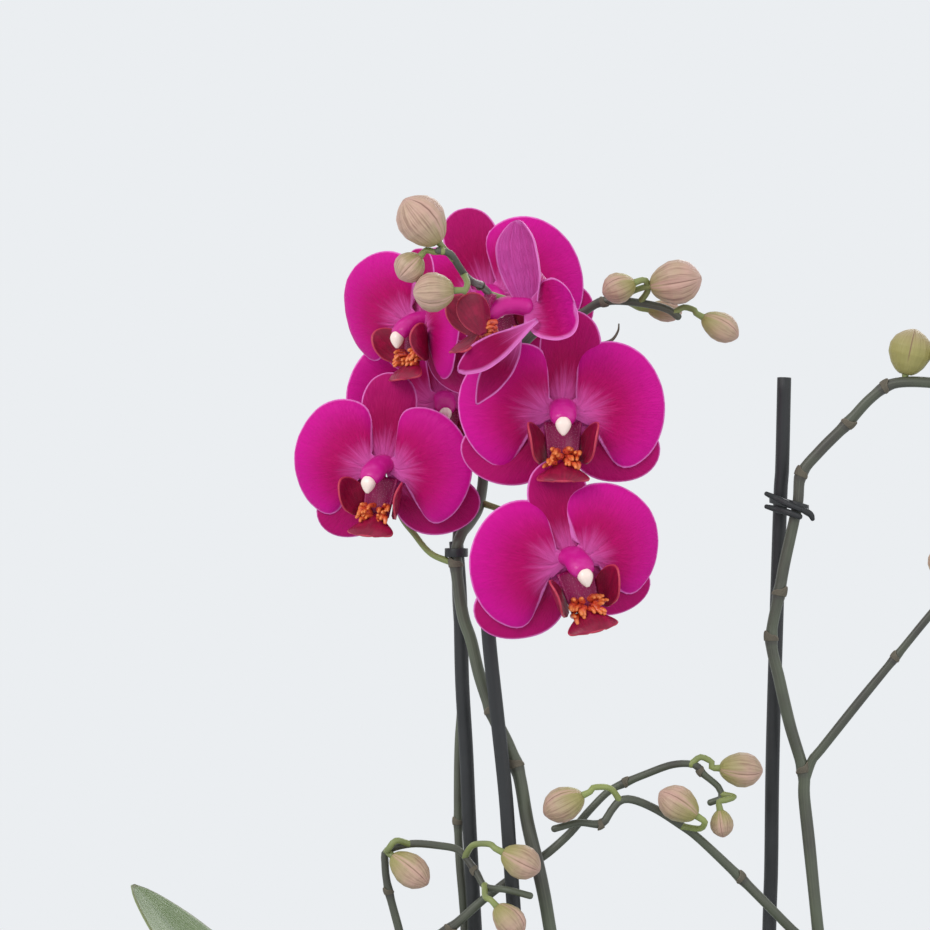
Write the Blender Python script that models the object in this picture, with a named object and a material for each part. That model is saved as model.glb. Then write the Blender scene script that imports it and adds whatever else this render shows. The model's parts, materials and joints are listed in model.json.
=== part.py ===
"""A potted moth orchid: pot, bark, crown, leaves, aerial roots, four flower spikes with their
buds and open flowers, three stakes and two clips.

Metres, +Z up. The origin is the middle of the pot's base. The flowers look towards -Y.
Places on the plant are in millimetres, as (x, y, height above the bark).
"""

import bpy
from math import cos, pi, radians, sin
from mathutils import Euler, Matrix, Vector

MM = 0.001

# Pot and bark
POT_HEIGHT = 130
POT_BASE_RADIUS = 62
POT_RIM_RADIUS = 75
POT_WALL = 4
POT_FLOOR = 6
RIM_BAND_HEIGHT = 16
RIM_BAND_PROUD = 1.5
BARK_DROP = 18
BARK_CLEARANCE = 0.4

# Stakes and clips
STAKE_RADIUS = 3
STAKE_HOLE_CLEARANCE = 0.4
CLIP_CLEARANCE = 0.6
CLIP_WALL = 1.3
CLIP_HEIGHT = 3.6

# Plant
CROWN_RADIUS = 9
CROWN_HEIGHT = 42
TOUCH_GAP = 0.4
LEAF_THICKNESS = 2.2
ROOT_RADIUS = 2.4
MAIN_SPIKE_RADIUS = 2.8
THIN_SPIKE_RADIUS = 1.8
RIGHT_SPIKE_RADIUS = 2.6
LEFT_SPIKE_RADIUS = 1.9
PEDICEL_RADIUS = 1.3
STEM_STEP = 12
PEDICEL_STEP = 6
TEPAL_THICKNESS = 1.2
PETAL_LEVEL = -0.6
SEPAL_LEVEL = 1.5
HUB_RADIUS = 4.5
HUB_BACK = 4.0

BARK_TOP = POT_HEIGHT - BARK_DROP
STAKE_FRONT = -17 + STAKE_RADIUS
STAKE_MIDDLE = -29 - STAKE_RADIUS
STAKE_BACK = 1 + STAKE_RADIUS

# Width of a petal, a sepal, a lip lobe and a leaf along its length, as a share of its half width
PETAL_OUTLINE = ((0.0, 0.14), (0.2, 0.6), (0.5, 1.0), (0.8, 0.84), (1.0, 0.36))
SEPAL_OUTLINE = ((0.0, 0.28), (0.25, 0.64), (0.55, 1.0), (0.82, 0.78), (1.0, 0.3))
LOBE_OUTLINE = ((0.0, 0.55), (0.5, 1.0), (0.85, 0.8), (1.0, 0.4))
LEAF_OUTLINE = (
    (0.0, 0.2), (0.08, 0.24), (0.2, 0.5), (0.35, 0.84), (0.5, 1.0),
    (0.65, 0.98), (0.8, 0.8), (0.92, 0.48), (1.0, 0.12),
)

# Tips of the petals and sepals from the flower's middle, in the flower's own axes
# (x right, y back, z up), with their widths
OPEN_PETALS = (((42.5, 1, 7), 47), ((-42.5, 1, 7), 47))
OPEN_SEPALS = (((0, 4, 40), 25), ((42, 4, -17), 28), ((-42, 4, -17), 28))

STEM_COLOUR = (0.16, 0.2, 0.1)
PETAL_COLOUR = (0.58, 0.01, 0.26)
SEPAL_COLOUR = (0.42, 0.01, 0.16)
LIP_COLOUR = (0.26, 0.005, 0.03)
BUD_COLOUR = (0.5, 0.36, 0.24)
LEAF_COLOUR = (0.22, 0.32, 0.12)
STAKE_COLOUR = (0.035, 0.038, 0.042)
BARK_COLOUR = (0.13, 0.07, 0.04)
POT_COLOUR = (0.8, 0.8, 0.78)
ROOT_COLOUR = (0.42, 0.45, 0.36)


def material(name, colour, roughness):
    """A plain finish of one colour."""
    made = bpy.data.materials.new(name)
    made.use_nodes = True
    shader = made.node_tree.nodes["Principled BSDF"]
    shader.inputs["Base Color"].default_value = (*colour, 1)
    shader.inputs["Roughness"].default_value = roughness
    shader.inputs["Metallic"].default_value = 0
    return made


def add_object(name, points, faces, finish, smooth=True):
    """An object from points in millimetres."""
    mesh = bpy.data.meshes.new(name)
    mesh.from_pydata([Vector(point) * MM for point in points], [], faces)
    mesh.update()
    if smooth:
        mesh.shade_smooth()
    made = bpy.data.objects.new(name, mesh)
    made.data.materials.append(finish)
    bpy.context.scene.collection.objects.link(made)
    return made


def combine(body, others, operation="UNION"):
    """Joins the others to the body, or cuts them from it."""
    for other in others:
        other.hide_render = True
        change = body.modifiers.new(other.name, "BOOLEAN")
        change.operation = operation
        change.object = other
        change.solver = "EXACT"
        change.use_self = operation == "UNION"
    return body


def on_plant(point):
    """A point above the bark, as a point above the pot's base."""
    x, y, height = point
    return Vector((x, y, height + BARK_TOP))


def smooth_route(points, step):
    """Points every step or so along a smooth curve through the given points."""
    points = [Vector(point) for point in points]
    ends = [2 * points[0] - points[1]] + points + [2 * points[-1] - points[-2]]
    route = []
    for before, start, end, after in zip(ends, ends[1:], ends[2:], ends[3:]):
        count = max(1, round((end - start).length / step))
        for i in range(count):
            t = i / count
            route.append(
                0.5 * (2 * start + (end - before) * t
                       + (2 * before - 5 * start + 4 * end - after) * t ** 2
                       + (3 * start - before - 3 * end + after) * t ** 3)
            )
    return route + [points[-1]]


def tube(name, points, radii, finish, sides=6):
    """A closed tube along the points. The radii go evenly from the first to the last."""
    directions = []
    for i in range(len(points)):
        ahead = points[min(i + 1, len(points) - 1)]
        behind = points[max(i - 1, 0)]
        directions.append((ahead - behind).normalized())
    across = directions[0].orthogonal().normalized()
    corners = []
    for i, (centre, direction) in enumerate(zip(points, directions)):
        across = (across - direction * across.dot(direction)).normalized()
        upright = direction.cross(across)
        share = i / (len(points) - 1) * (len(radii) - 1)
        low = min(int(share), len(radii) - 2)
        radius = radii[low] + (radii[low + 1] - radii[low]) * (share - low)
        for side in range(sides):
            angle = 2 * pi * side / sides
            corners.append(centre + (across * cos(angle) + upright * sin(angle)) * radius)
    faces = [tuple(reversed(range(sides)))]
    for ring in range(len(points) - 1):
        for side in range(sides):
            following = (side + 1) % sides
            faces.append((ring * sides + side, ring * sides + following,
                          (ring + 1) * sides + following, (ring + 1) * sides + side))
    faces.append(tuple(range((len(points) - 1) * sides, len(points) * sides)))
    return add_object(name, corners, faces, finish)


def turned(name, profile, finish, segments, place=None, smooth=True):
    """A turned solid from (radius, height) pairs that start and end on the axis."""
    place = place or Matrix.Identity(4)
    inner = profile[1:-1]
    corners = [place @ Vector((0, 0, profile[0][1])), place @ Vector((0, 0, profile[-1][1]))]
    for radius, height in inner:
        for segment in range(segments):
            angle = 2 * pi * segment / segments
            corners.append(place @ Vector((radius * cos(angle), radius * sin(angle), height)))
    faces = []
    last = 2 + (len(inner) - 1) * segments
    for segment in range(segments):
        following = (segment + 1) % segments
        faces.append((0, 2 + following, 2 + segment))
        faces.append((1, last + segment, last + following))
        for ring in range(len(inner) - 1):
            low = 2 + ring * segments
            high = low + segments
            faces.append((low + segment, low + following, high + following, high + segment))
    return add_object(name, corners, faces, finish, smooth)


def blade(name, spine, half_widths, side, normal, cup, thickness, finish, columns=5):
    """A closed, thin sheet: a row of points across each point of its spine, given a thickness.

    The edges rise along the normal by the cup's share of their distance from the spine.
    """
    top = []
    bottom = []
    for centre, half_width in zip(spine, half_widths):
        for column in range(columns):
            across = 2 * column / (columns - 1) - 1
            point = centre + side * half_width * across + normal * cup * half_width * across ** 2
            top.append(point + normal * thickness / 2)
            bottom.append(point - normal * thickness / 2)
    rows = len(spine)
    under = len(top)
    faces = []
    for row in range(rows - 1):
        for column in range(columns - 1):
            a = row * columns + column
            b, c, d = a + 1, a + 1 + columns, a + columns
            faces.append((a, b, c, d))
            faces.append((under + d, under + c, under + b, under + a))
    edge = list(range(columns))
    edge += [row * columns + columns - 1 for row in range(1, rows)]
    edge += [(rows - 1) * columns + column for column in range(columns - 2, -1, -1)]
    edge += [row * columns for row in range(rows - 2, 0, -1)]
    for a, b in zip(edge, edge[1:] + edge[:1]):
        faces.append((b, a, under + a, under + b))
    if side.cross(spine[-1] - spine[0]).dot(normal) < 0:
        faces = [tuple(reversed(face)) for face in faces]
    return add_object(name, top + bottom, faces, finish)


# Pot, bark and crown

def build_pot(finish):
    taper = (POT_RIM_RADIUS - POT_BASE_RADIUS) / POT_HEIGHT
    band = POT_HEIGHT - RIM_BAND_HEIGHT
    body_radius = POT_RIM_RADIUS - RIM_BAND_PROUD
    profile = (
        (0, 0),
        (POT_BASE_RADIUS - 2, 0),
        (POT_BASE_RADIUS, 2),
        (POT_BASE_RADIUS + taper * band - RIM_BAND_PROUD, band),
        (body_radius, band + 2),
        (POT_RIM_RADIUS, band + 4),
        (POT_RIM_RADIUS, POT_HEIGHT - 1),
        (POT_RIM_RADIUS - 1, POT_HEIGHT),
        (POT_RIM_RADIUS - POT_WALL, POT_HEIGHT),
        (POT_BASE_RADIUS - POT_WALL, POT_FLOOR),
        (0, POT_FLOOR),
    )
    return turned("pot", profile, finish, 28)


def pot_inside(height):
    """Inner radius of the pot at a height above its base."""
    share = (height - POT_FLOOR) / (POT_HEIGHT - POT_FLOOR)
    return POT_BASE_RADIUS - POT_WALL + share * (POT_RIM_RADIUS - POT_BASE_RADIUS)


def build_bark(stakes, finish):
    bottom = POT_FLOOR + BARK_CLEARANCE
    profile = (
        (0, bottom),
        (pot_inside(bottom) - BARK_CLEARANCE, bottom),
        (pot_inside(BARK_TOP) - BARK_CLEARANCE - 1, BARK_TOP - 1),
        (pot_inside(BARK_TOP) - 6, BARK_TOP),
        (0, BARK_TOP),
    )
    bark = turned("bark", profile, finish, 28)
    holes = []
    for name, points in stakes.items():
        foot = points[-1] + (points[-1] - points[-2]).normalized() * STAKE_HOLE_CLEARANCE
        hole = points[:-1] + [foot]
        radius = STAKE_RADIUS + STAKE_HOLE_CLEARANCE
        holes.append(tube(f"{name}_hole", hole, (radius, radius), finish, sides=10))
    return combine(bark, holes, "DIFFERENCE")


def build_crown(finish):
    foot = BARK_TOP + TOUCH_GAP
    profile = (
        (0, foot),
        (CROWN_RADIUS - 1, foot),
        (CROWN_RADIUS, foot + 2),
        (CROWN_RADIUS, BARK_TOP + CROWN_HEIGHT - 8),
        (CROWN_RADIUS * 0.6, BARK_TOP + CROWN_HEIGHT - 2),
        (0, BARK_TOP + CROWN_HEIGHT),
    )
    return turned("crown", profile, finish, 16)


def from_crown(azimuth, distance, height):
    """A point at this distance from the crown's side."""
    reach = CROWN_RADIUS + TOUCH_GAP + distance
    return (reach * cos(radians(azimuth)), reach * sin(radians(azimuth)), height)


# Leaves and roots

# name, direction, height of the base, middle and tip as (reach, height), half width
LEAVES = (
    ("leaf_1", 160.1, 30, (120, 113), (223.5, 225), 37),
    ("leaf_2", 30, 24, (120, 105), (205, 98), 38),
    ("leaf_3", 122, 16, (110, 78), (185, 46), 37),
    ("leaf_4", -26, 10, (105, 62), (190, 34), 34),
    ("leaf_5", 268, 5, (80, 42), (150, 30), 28),
)


def build_leaf(name, azimuth, base_height, middle, tip, half_width, finish):
    outward = Vector((cos(radians(azimuth)), sin(radians(azimuth)), 0))
    side = Vector((-outward.y, outward.x, 0))
    start = Vector((CROWN_RADIUS + TOUCH_GAP, base_height))
    spine = []
    half_widths = []
    for along, share in LEAF_OUTLINE:
        flat = (start * (1 - along) ** 2 + 2 * Vector(middle) * along * (1 - along)
                + Vector(tip) * along ** 2)
        spine.append(on_plant((outward.x * flat.x, outward.y * flat.x, flat.y)))
        half_widths.append(share * half_width)
    lift = Vector((0, 0, 1))
    return blade(name, spine, half_widths, side, lift, 0.22, LEAF_THICKNESS, finish)


ROOTS = (
    ("aerial_root_1", 192, 14, ((-22, -1, 12), (-32, 4, 5), (-44, 12, 3.2))),
    ("aerial_root_2", 76, 12, ((9, 30, 13), (15, 52, 15), (20, 66, 22), (23, 75, 23), (25, 81, 13), (25, 83, -4))),
)


def build_root(name, azimuth, height, way, finish):
    points = [from_crown(azimuth, 0, height), from_crown(azimuth, 5, height)] + list(way)
    route = smooth_route([on_plant(point) for point in points], 8)
    return tube(name, route, (ROOT_RADIUS, ROOT_RADIUS, ROOT_RADIUS * 0.7), finish)


# Stakes and clips

STAKES = {
    "stake_left": ((-69.7, 375), (-68, 350.3), (-67.2, 316.9), (-65.5, 287.3), (-64.3, 259.7),
                   (-61.8, 212.5), (-55.5, 99.8), (-50.4, 0), (-47, -66)),
    "stake_middle": ((-58.2, 366), (-56, 334.2), (-52.7, 303.5), (-49.4, 272.9), (-47.7, 250.1),
                     (-45.2, 214), (-38, 102), (-31.5, 0), (-27.3, -66)),
    "stake_right": ((68.3, 443.7), (67.4, 404.6), (66.6, 391.6), (63.6, 292.3), (62.8, 237.6),
                    (62, 211.1), (59.4, 97.5), (57.3, 0), (56, -62)),
}
STAKE_DEPTHS = {
    "stake_left": STAKE_FRONT,
    "stake_middle": STAKE_MIDDLE,
    "stake_right": STAKE_BACK,
}


def stake_routes():
    return {
        name: [on_plant((x, STAKE_DEPTHS[name], height)) for x, height in points]
        for name, points in STAKES.items()
    }


def build_clip(name, first, second, reach_first, reach_second, height, finish):
    """A band around a stake and a stem, one at each end, seen from above as a rounded loop."""
    along = (Vector(second) - Vector(first)).normalized()
    across = Vector((-along.y, along.x))
    rings = []
    for wall in (0, CLIP_WALL):
        ring = []
        for centre, reach, start in ((second, reach_second, -90), (first, reach_first, 90)):
            for step in range(9):
                angle = radians(start + 22.5 * step)
                offset = (along * cos(angle) + across * sin(angle)) * (reach + wall)
                ring.append(Vector(centre) + offset)
        rings.append(ring)
    inner, outer = rings
    low = height - CLIP_HEIGHT / 2
    high = height + CLIP_HEIGHT / 2
    count = len(inner)
    corners = []
    for ring, level in ((outer, low), (outer, high), (inner, high), (inner, low)):
        corners += [on_plant((point.x, point.y, level)) for point in ring]
    faces = []
    for i in range(count):
        j = (i + 1) % count
        for ring in range(4):
            following = (ring + 1) % 4
            faces.append((ring * count + i, ring * count + j,
                          following * count + j, following * count + i))
    return add_object(name, corners, faces, finish, smooth=False)


# Spikes: the way of each stem, its radii, and its side branches

MAIN_SPIKE = (
    (1, -22, 48), (-10, -26, 98), (-22, -27, 158), (-30.6, -26, 213.5), (-34.4, -29, 234.5),
    (-39.8, -28, 257.3), (-43.5, -26, 277.9), (-48.1, -25, 290.3), (-53.5, -24.5, 301.5),
    (-59.7, -24, 318.6), (-63.4, -23, 333.9), (-66.8, -22, 344.3), (-69.3, -21, 360.9),
    (-69.7, -21, 370.5), (-67.6, -20, 378), (-63.9, -13, 382.9), (-60.5, -4, 388.7),
    (-58.8, 4, 397), (-57.5, 10, 408), (-52.8, 15, 425.7), (-46.9, 13, 444.7), (-41.1, 8, 458.1),
    (-31, 4, 466), (-17.7, -2, 470.5), (-9.8, -6, 475), (-1.1, -9, 475.7), (11.5, -9, 474.1),
    (19, -9, 472), (23.2, -9, 469),
)
THIN_SPIKE = (
    (-9, -25, 38), (-26, -38, 70), (-48, -38, 112), (-62, -22, 150), (-67, -13, 182),
    (-66.2, -9, 212), (-66.8, -9, 225), (-68.2, -9, 241.4), (-68.9, -9, 257.3),
    (-68.9, -8.5, 274.9), (-68.5, -8, 291.6), (-67.6, -7, 308.3), (-68.5, -6, 333.4),
    (-69.7, -5, 354.3), (-69.7, -1, 375.2), (-67.2, 6, 400.4), (-63.8, 12, 421.5),
    (-58.3, 12, 442.6), (-55, 10, 463.6), (-54.6, -6, 473.7), (-55.5, -24, 476.6),
    (-56.9, -48, 478.4), (-59.8, -70, 480.4), (-62.7, -88, 481), (-65.5, -97, 482.8),
    (-68.4, -102, 486.7), (-72, -106, 491.8), (-76.8, -108, 493),
)
RIGHT_SPIKE = (
    (9.5, -16, 30), (24, -19, 48), (52, -15, 86), (72, -9, 128), (82, -6, 173), (83.6, -6, 199.3),
    (81.9, -6, 211.9), (78.2, -6, 248.3), (76.1, -6, 268), (75.7, -6, 278.9), (70.2, -6, 297.8),
    (65.6, -6, 317.5), (62.3, -6, 334.2), (65.6, -6, 353.1), (68.1, -6, 366.9),
    (73.2, -6, 389.9), (74.8, -6, 402.9), (82.8, -6, 413), (94, -8, 424.3), (103.5, -10, 434.7),
    (112.9, -12, 441), (128.2, -14, 441.4), (138.6, -15, 438.8), (146.9, -15, 433.8),
)
RIGHT_SIDE_BRANCH = (
    (76.1, -6, 274), (79.3, -7, 283.2), (83, -8, 287.9), (99.1, -11, 308.5),
    (113.6, -14, 326.5), (128.1, -16, 344.5), (137.2, -17, 354.6), (144.6, -18, 360.8),
    (150, -18, 363.5),
)
LEFT_SIDE_BRANCH = (
    (83.6, -6, 199), (77.5, -9, 206.8), (71, -13, 212.5), (60.4, -18, 223.3),
    (47.3, -22, 236.5), (31.3, -26, 251.7), (23.3, -28, 257.7), (12.9, -30, 264.4),
    (3.7, -31, 268.2), (-1.7, -31, 267.8), (-5.4, -31, 263.7), (-9.6, -31, 258.3),
    (-19.1, -31, 258.7), (-29, -30, 256.1),
)
LEFT_SPIKE = (
    (-16, -21, 28), (-26, -36, 41), (-42, -45, 61), (-63, -44, 94), (-81, -34, 138), (-90, -21, 178),
    (-91, -18, 201.2), (-93.4, -20, 213), (-98, -24, 231.2), (-99.2, -27, 241.8),
    (-98.2, -29, 247), (-88.3, -30, 249.9), (-76.3, -30, 249.1), (-68.8, -30, 247.4),
    (-64.7, -31, 242.9), (-61, -33, 237.7), (-57.3, -36, 232.5), (-48.6, -42, 231.7),
    (-39.1, -43, 229.3),
)
LEFT_LOW_BRANCH = (
    (-91, -18, 201.2), (-84.7, -20, 206.8), (-72.6, -23, 214.1), (-66.4, -24.5, 219.2),
    (-58.9, -24.5, 225.9), (-47.2, -23.5, 234.9), (-38.9, -21, 240.6), (-31.4, -20, 245.5),
    (-22.2, -20, 253.8), (-14.3, -20, 263), (-6.4, -20, 270.9), (0.7, -21, 274.7),
    (8.6, -22, 278.1), (20.2, -23, 282.3), (29.3, -24, 282.4), (33, -24, 278.6),
    (39.3, -24, 273.2), (40.5, -24, 268.7), (35.9, -24, 266.6),
)

# name: direction and height at the crown, way, start and end radius, branches with their radii
SPIKES = {
    "spike_main": (272, 20, MAIN_SPIKE, (MAIN_SPIKE_RADIUS, MAIN_SPIKE_RADIUS, 1.6), ()),
    "spike_thin": (248, 26, THIN_SPIKE, (THIN_SPIKE_RADIUS, THIN_SPIKE_RADIUS, 1.5), ()),
    "spike_right": (
        300, 24, RIGHT_SPIKE, (RIGHT_SPIKE_RADIUS, RIGHT_SPIKE_RADIUS, 2.2),
        ((RIGHT_SIDE_BRANCH, (2.1, 1.5)), (LEFT_SIDE_BRANCH, (2.2, 1.5))),
    ),
    "spike_left": (
        224, 20, LEFT_SPIKE, (LEFT_SPIKE_RADIUS, LEFT_SPIKE_RADIUS, 1.4),
        ((LEFT_LOW_BRANCH, (2.0, 1.4)),),
    ),
}

# name: base, tip, radius, spike, and the pedicel's way from the spike's middle line
BUDS = {
    "bud_front_large": ((-76.6, -106, 496.5), (-90.4, -110.4, 513.4), 9.4, "spike_thin",
                        ((-70.6, -104.4, 489.9),)),
    "bud_front_middle": ((-70.5, -108, 476.9), (-86.8, -108, 476.1), 7.8, "spike_thin",
                         ((-66.6, -99, 484), (-65, -104, 480), (-66.2, -107.6, 476.6))),
    "bud_front_small": ((-84, -104, 490.8), (-92.6, -104, 482), 6.1, "spike_thin",
                        ((-75, -107.6, 492.8), (-78.6, -105.6, 492.6))),
    "bud_back_round": ((4.6, -17.6, 483), (-8.6, -18.6, 478.4), 6.4, "spike_main",
                       ((7, -9, 474.8), (10.4, -12.6, 480), (9.4, -16.6, 484))),
    "bud_back_large": ((11.6, -14.6, 481.6), (32.6, -17.6, 485), 9.0, "spike_main",
                       ((0, -9, 475.6), (3, -11.5, 479))),
    "bud_back_under": ((11, 2, 472.6), (25.2, 3, 471), 4.6, "spike_main",
                       ((1, -9, 475.6), (4, -2, 474.6))),
    "bud_back_small": ((33.6, -10, 468.8), (48.2, -10, 460.4), 6.0, "spike_main",
                       ((21.5, -9, 470.6), (25.5, -9, 473), (30, -9.6, 471.8))),
    "bud_top": ((118, -12, 445.4), (122.1, -12, 464), 8.4, "spike_right",
                ((114, -12, 441.4),)),
    "bud_top_side": ((136.8, -15, 444.2), (136, -15, 459), 7.0, "spike_right",
                     ((134, -14.6, 440.6),)),
    "bud_top_end": ((150.6, -15, 430.6), (160, -15, 418.6), 6.2, "spike_right",
                    ((144, -15, 436),)),
    "bud_side_first": ((136, -17, 359.6), (131, -17, 373), 6.6, "spike_right",
                       ((134.6, -17, 352),)),
    "bud_side_end": ((154.4, -18, 365.8), (167, -18, 371.4), 6.0, "spike_right",
                     ((146, -18, 361.6),)),
    "bud_low_left": ((-96, -32.5, 245), (-81.4, -37, 233.6), 6.8, "spike_left",
                     ((-89, -30, 249.8), (-94.6, -34, 251.5), (-98, -33.6, 247.6))),
    "bud_low_middle": ((-50.4, -48, 247.6), (-35.2, -49, 240), 7.0, "spike_left",
                       ((-66, -30.6, 244.8), (-62.6, -37, 249.8), (-56, -45, 250.8))),
    "bud_low_under": ((-53, -46, 225.2), (-42.4, -48, 213.6), 6.2, "spike_left",
                      ((-57.8, -36, 233), (-57.6, -42, 228.8))),
    "bud_branch_left": ((-17.4, -37, 270.4), (-33.4, -36, 262.6), 7.2, "spike_right",
                        ((-1.7, -31, 267.8), (-6, -34.6, 273.2), (-13, -37, 273.6))),
    "bud_branch_right": ((29.6, -38, 262), (14.4, -38, 271.8), 7.2, "spike_right",
                         ((24.2, -28, 257), (31.4, -33, 256.4), (33.2, -37, 259.2))),
    "bud_twig_large": ((40, -24.4, 281), (57.8, -24, 279.8), 7.2, "spike_left",
                       ((28, -24, 282.5), (32, -24.4, 285.6), (36.6, -24.4, 283.4))),
    "bud_twig_small": ((39.8, -30, 263.8), (41.2, -30.5, 252.6), 4.8, "spike_left",
                       ((41, -24, 270), (45.6, -27, 269.2), (42, -30, 268))),
}

# name: middle, turn left (-) or right (+), nod down (+), lean right (+), size, spike, pedicel's way
FLOWERS = {
    "flower_low_left": ((-99.6, -28, 407.1), -16, 8, 4, 0.95, "spike_main",
                        ((-70.2, -20.6, 366), (-80, -17, 370), (-87, -14.5, 378), (-93.6, -14, 388))),
    "flower_right": ((-26.1, -66, 430), 0, 2, 0, 1.0, "spike_main",
                     ((-57.4, 9, 407), (-46, -8, 404), (-36, -24, 408), (-27, -42, 424))),
    "flower_low_right": ((-22.9, -70, 369.6), 11, 8, -13, 1.0, "spike_main",
                         ((-59.8, 0, 391.4), (-46, -14, 386), (-32, -34, 375), (-25.4, -48, 371))),
    "flower_left": ((-83.3, -34, 466.8), -48, 8, 16, 0.92, "spike_thin",
                    ((-54.8, -12, 475), (-62, -16, 471.5), (-72, -21.6, 467))),
    "flower_top": ((-42.8, -84, 471.6), -80, 0, 0, 1.0, "spike_thin",
                   ((-56.4, -38, 477.6), (-46, -46, 474.6), (-33.4, -64, 472.6), (-29, -78, 471.8))),
    "flower_top_back": ((-56.5, 36, 479.5), 0, 4, -20, 1.0, "spike_thin",
                        ((-61, 12, 432), (-60, 30, 437), (-58, 49, 450), (-57.2, 52, 470))),
    "flower_hidden": ((-74.8, 3, 434.8), 3, 6, 0, 0.82, "spike_thin",
                      ((-63.4, 11.5, 413.4), (-71, 16, 420.4), (-75.4, 16, 429))),
}

# The left flower holds its petals forward
SWEPT_PETALS = (((40, -14, 7), 47), ((-40, -14, 7), 47))

# The half-open flower at the top holds its petals and sepals in other directions
TOP_PETALS = (((32, 12, 12), 33), ((-31.7, 3, 21), 28))
TOP_SEPALS = (((0, 3, 36), 21), ((11, -22, -30), 17), ((-7, -14, -39), 17))


def flower_frame(middle, turn, nod, lean, size):
    rotation = Euler((radians(nod), radians(lean), 0)).to_matrix()
    rotation = Euler((0, 0, radians(turn))).to_matrix() @ rotation
    return Matrix.Translation(on_plant(middle)) @ rotation.to_4x4() @ Matrix.Scale(size, 4)


def build_tepals(name, frame, tips, outline, level, finish):
    """Petals or sepals joined at one hub, for a flower in this frame."""
    turn = frame.to_3x3()
    facing = (turn @ Vector((0, -1, 0))).normalized()
    near = level - (TEPAL_THICKNESS / 2 + 0.4)
    far = level + TEPAL_THICKNESS / 2 + 0.3
    if level == SEPAL_LEVEL:
        far = HUB_BACK
    upright = Matrix.Rotation(radians(-90), 4, "X")
    profile = ((0, near), (HUB_RADIUS * 0.8, near), (HUB_RADIUS, level), (2.4, far), (0, far))
    hub = turned(f"{name}_{'sepals' if level == SEPAL_LEVEL else 'petals'}", profile, finish, 10,
                 frame @ upright)
    blades = []
    for number, (tip, width) in enumerate(tips):
        tip = Vector(tip)
        flat = Vector((tip.x, 0, tip.z))
        side = turn @ Vector((tip.z, 0, -tip.x)).normalized()
        spine = []
        half_widths = []
        for along, share in outline:
            start = HUB_RADIUS * 0.5 / flat.length
            reach = start + (1 - start) * along
            local = flat * reach + Vector((0, level + tip.y * reach ** 2, 0))
            spine.append(frame @ local)
            half_widths.append(share * width / 2)
        cup = 0.05 if level == PETAL_LEVEL else -0.06
        blades.append(blade(f"{hub.name}_{number}", spine, half_widths, side, facing, cup,
                            TEPAL_THICKNESS, finish, columns=4))
    return combine(hub, blades)


def build_lip(name, frame, lift, finish):
    """The column with the lip below it: two upright side lobes and a front lobe."""
    tilt = frame @ Matrix.Rotation(radians(lift), 4, "X")
    turn = tilt.to_3x3()

    def spot(x, y, z):
        return tilt @ Vector((x, y, z))

    start = PETAL_LEVEL - TEPAL_THICKNESS / 2 - 0.4 - TOUCH_GAP - 0.4
    column = [frame @ Vector(point) for point in ((0, start, 0), (0, -7, -0.6), (0, -13, -3.4))]
    body = tube(f"{name}_lip", column, (2.4, 3.1, 3.5), finish, sides=8)
    keel = tube(f"{name}_keel", [spot(0, -4, -1), spot(0, -7, -8), spot(0, -11.5, -16)],
                (2.2, 3.2, 3.4), finish, sides=8)
    pieces = [keel]
    along_keel = turn @ Vector((0, -0.5, -0.86))
    for mark, label in ((-1, "left"), (1, "right")):
        spine = [spot(mark * 1.5, -9, -12), spot(mark * 7, -11, -9), spot(mark * 11, -12, -6),
                 spot(mark * 12.5, -13.5, -3)]
        half_widths = [share * 8 for _, share in LOBE_OUTLINE]
        normal = (turn @ Vector((-mark * 0.55, -0.75, 0.43))).normalized()
        side = (along_keel - normal * along_keel.dot(normal)).normalized()
        pieces.append(blade(f"{name}_lobe_{label}", spine, half_widths, side, normal, 0.05,
                            1.2, finish, columns=4))
    spine = [spot(0, -10, -14), spot(0, -14, -19), spot(0, -16, -23), spot(0, -16.5, -26)]
    half_widths = [share * 10 for _, share in LOBE_OUTLINE]
    side = (turn @ Vector((1, 0, 0))).normalized()
    normal = (turn @ Vector((0, -0.86, 0.5))).normalized()
    pieces.append(blade(f"{name}_lobe_front", spine, half_widths, side, normal, 0.1, 1.6,
                        finish, columns=4))
    return combine(body, pieces)


def build_flower(name, spec, finishes):
    """The flower's three pieces. Returns the pedicel's way to the back of its sepals."""
    middle, turn, nod, lean, size, _, way = spec
    frame = flower_frame(middle, turn, nod, lean, size)
    open_sideways = name == "flower_top"
    petals = {"flower_top": TOP_PETALS, "flower_left": SWEPT_PETALS}.get(name, OPEN_PETALS)
    sepals = TOP_SEPALS if open_sideways else OPEN_SEPALS
    build_tepals(name, frame, sepals, SEPAL_OUTLINE, SEPAL_LEVEL, finishes["sepal"])
    build_tepals(name, frame, petals, PETAL_OUTLINE, PETAL_LEVEL, finishes["petal"])
    build_lip(name, frame, -30 if open_sideways else 0, finishes["lip"])
    neck = [frame @ Vector((0, HUB_BACK + distance, 0)) for distance in (6, TOUCH_GAP)]
    return [on_plant(point) for point in way] + neck


def build_bud(name, base, tip, radius, finish):
    """A bud, fullest beyond its middle. Returns the last two points of its pedicel."""
    base = on_plant(base)
    axis = on_plant(tip) - base
    length = axis.length
    axis.normalize()
    place = Matrix.Translation(base) @ axis.to_track_quat("Z", "Y").to_matrix().to_4x4()
    shares = ((0.0, 0.34), (0.18, 0.74), (0.42, 0.98), (0.62, 1.0), (0.84, 0.7), (0.96, 0.3))
    profile = [(0, 0)] + [(share * radius, along * length) for along, share in shares]
    profile.append((0, length))
    turned(name, profile, finish, 8, place)
    return [base - axis * 3.5, base - axis * TOUCH_GAP]


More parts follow.
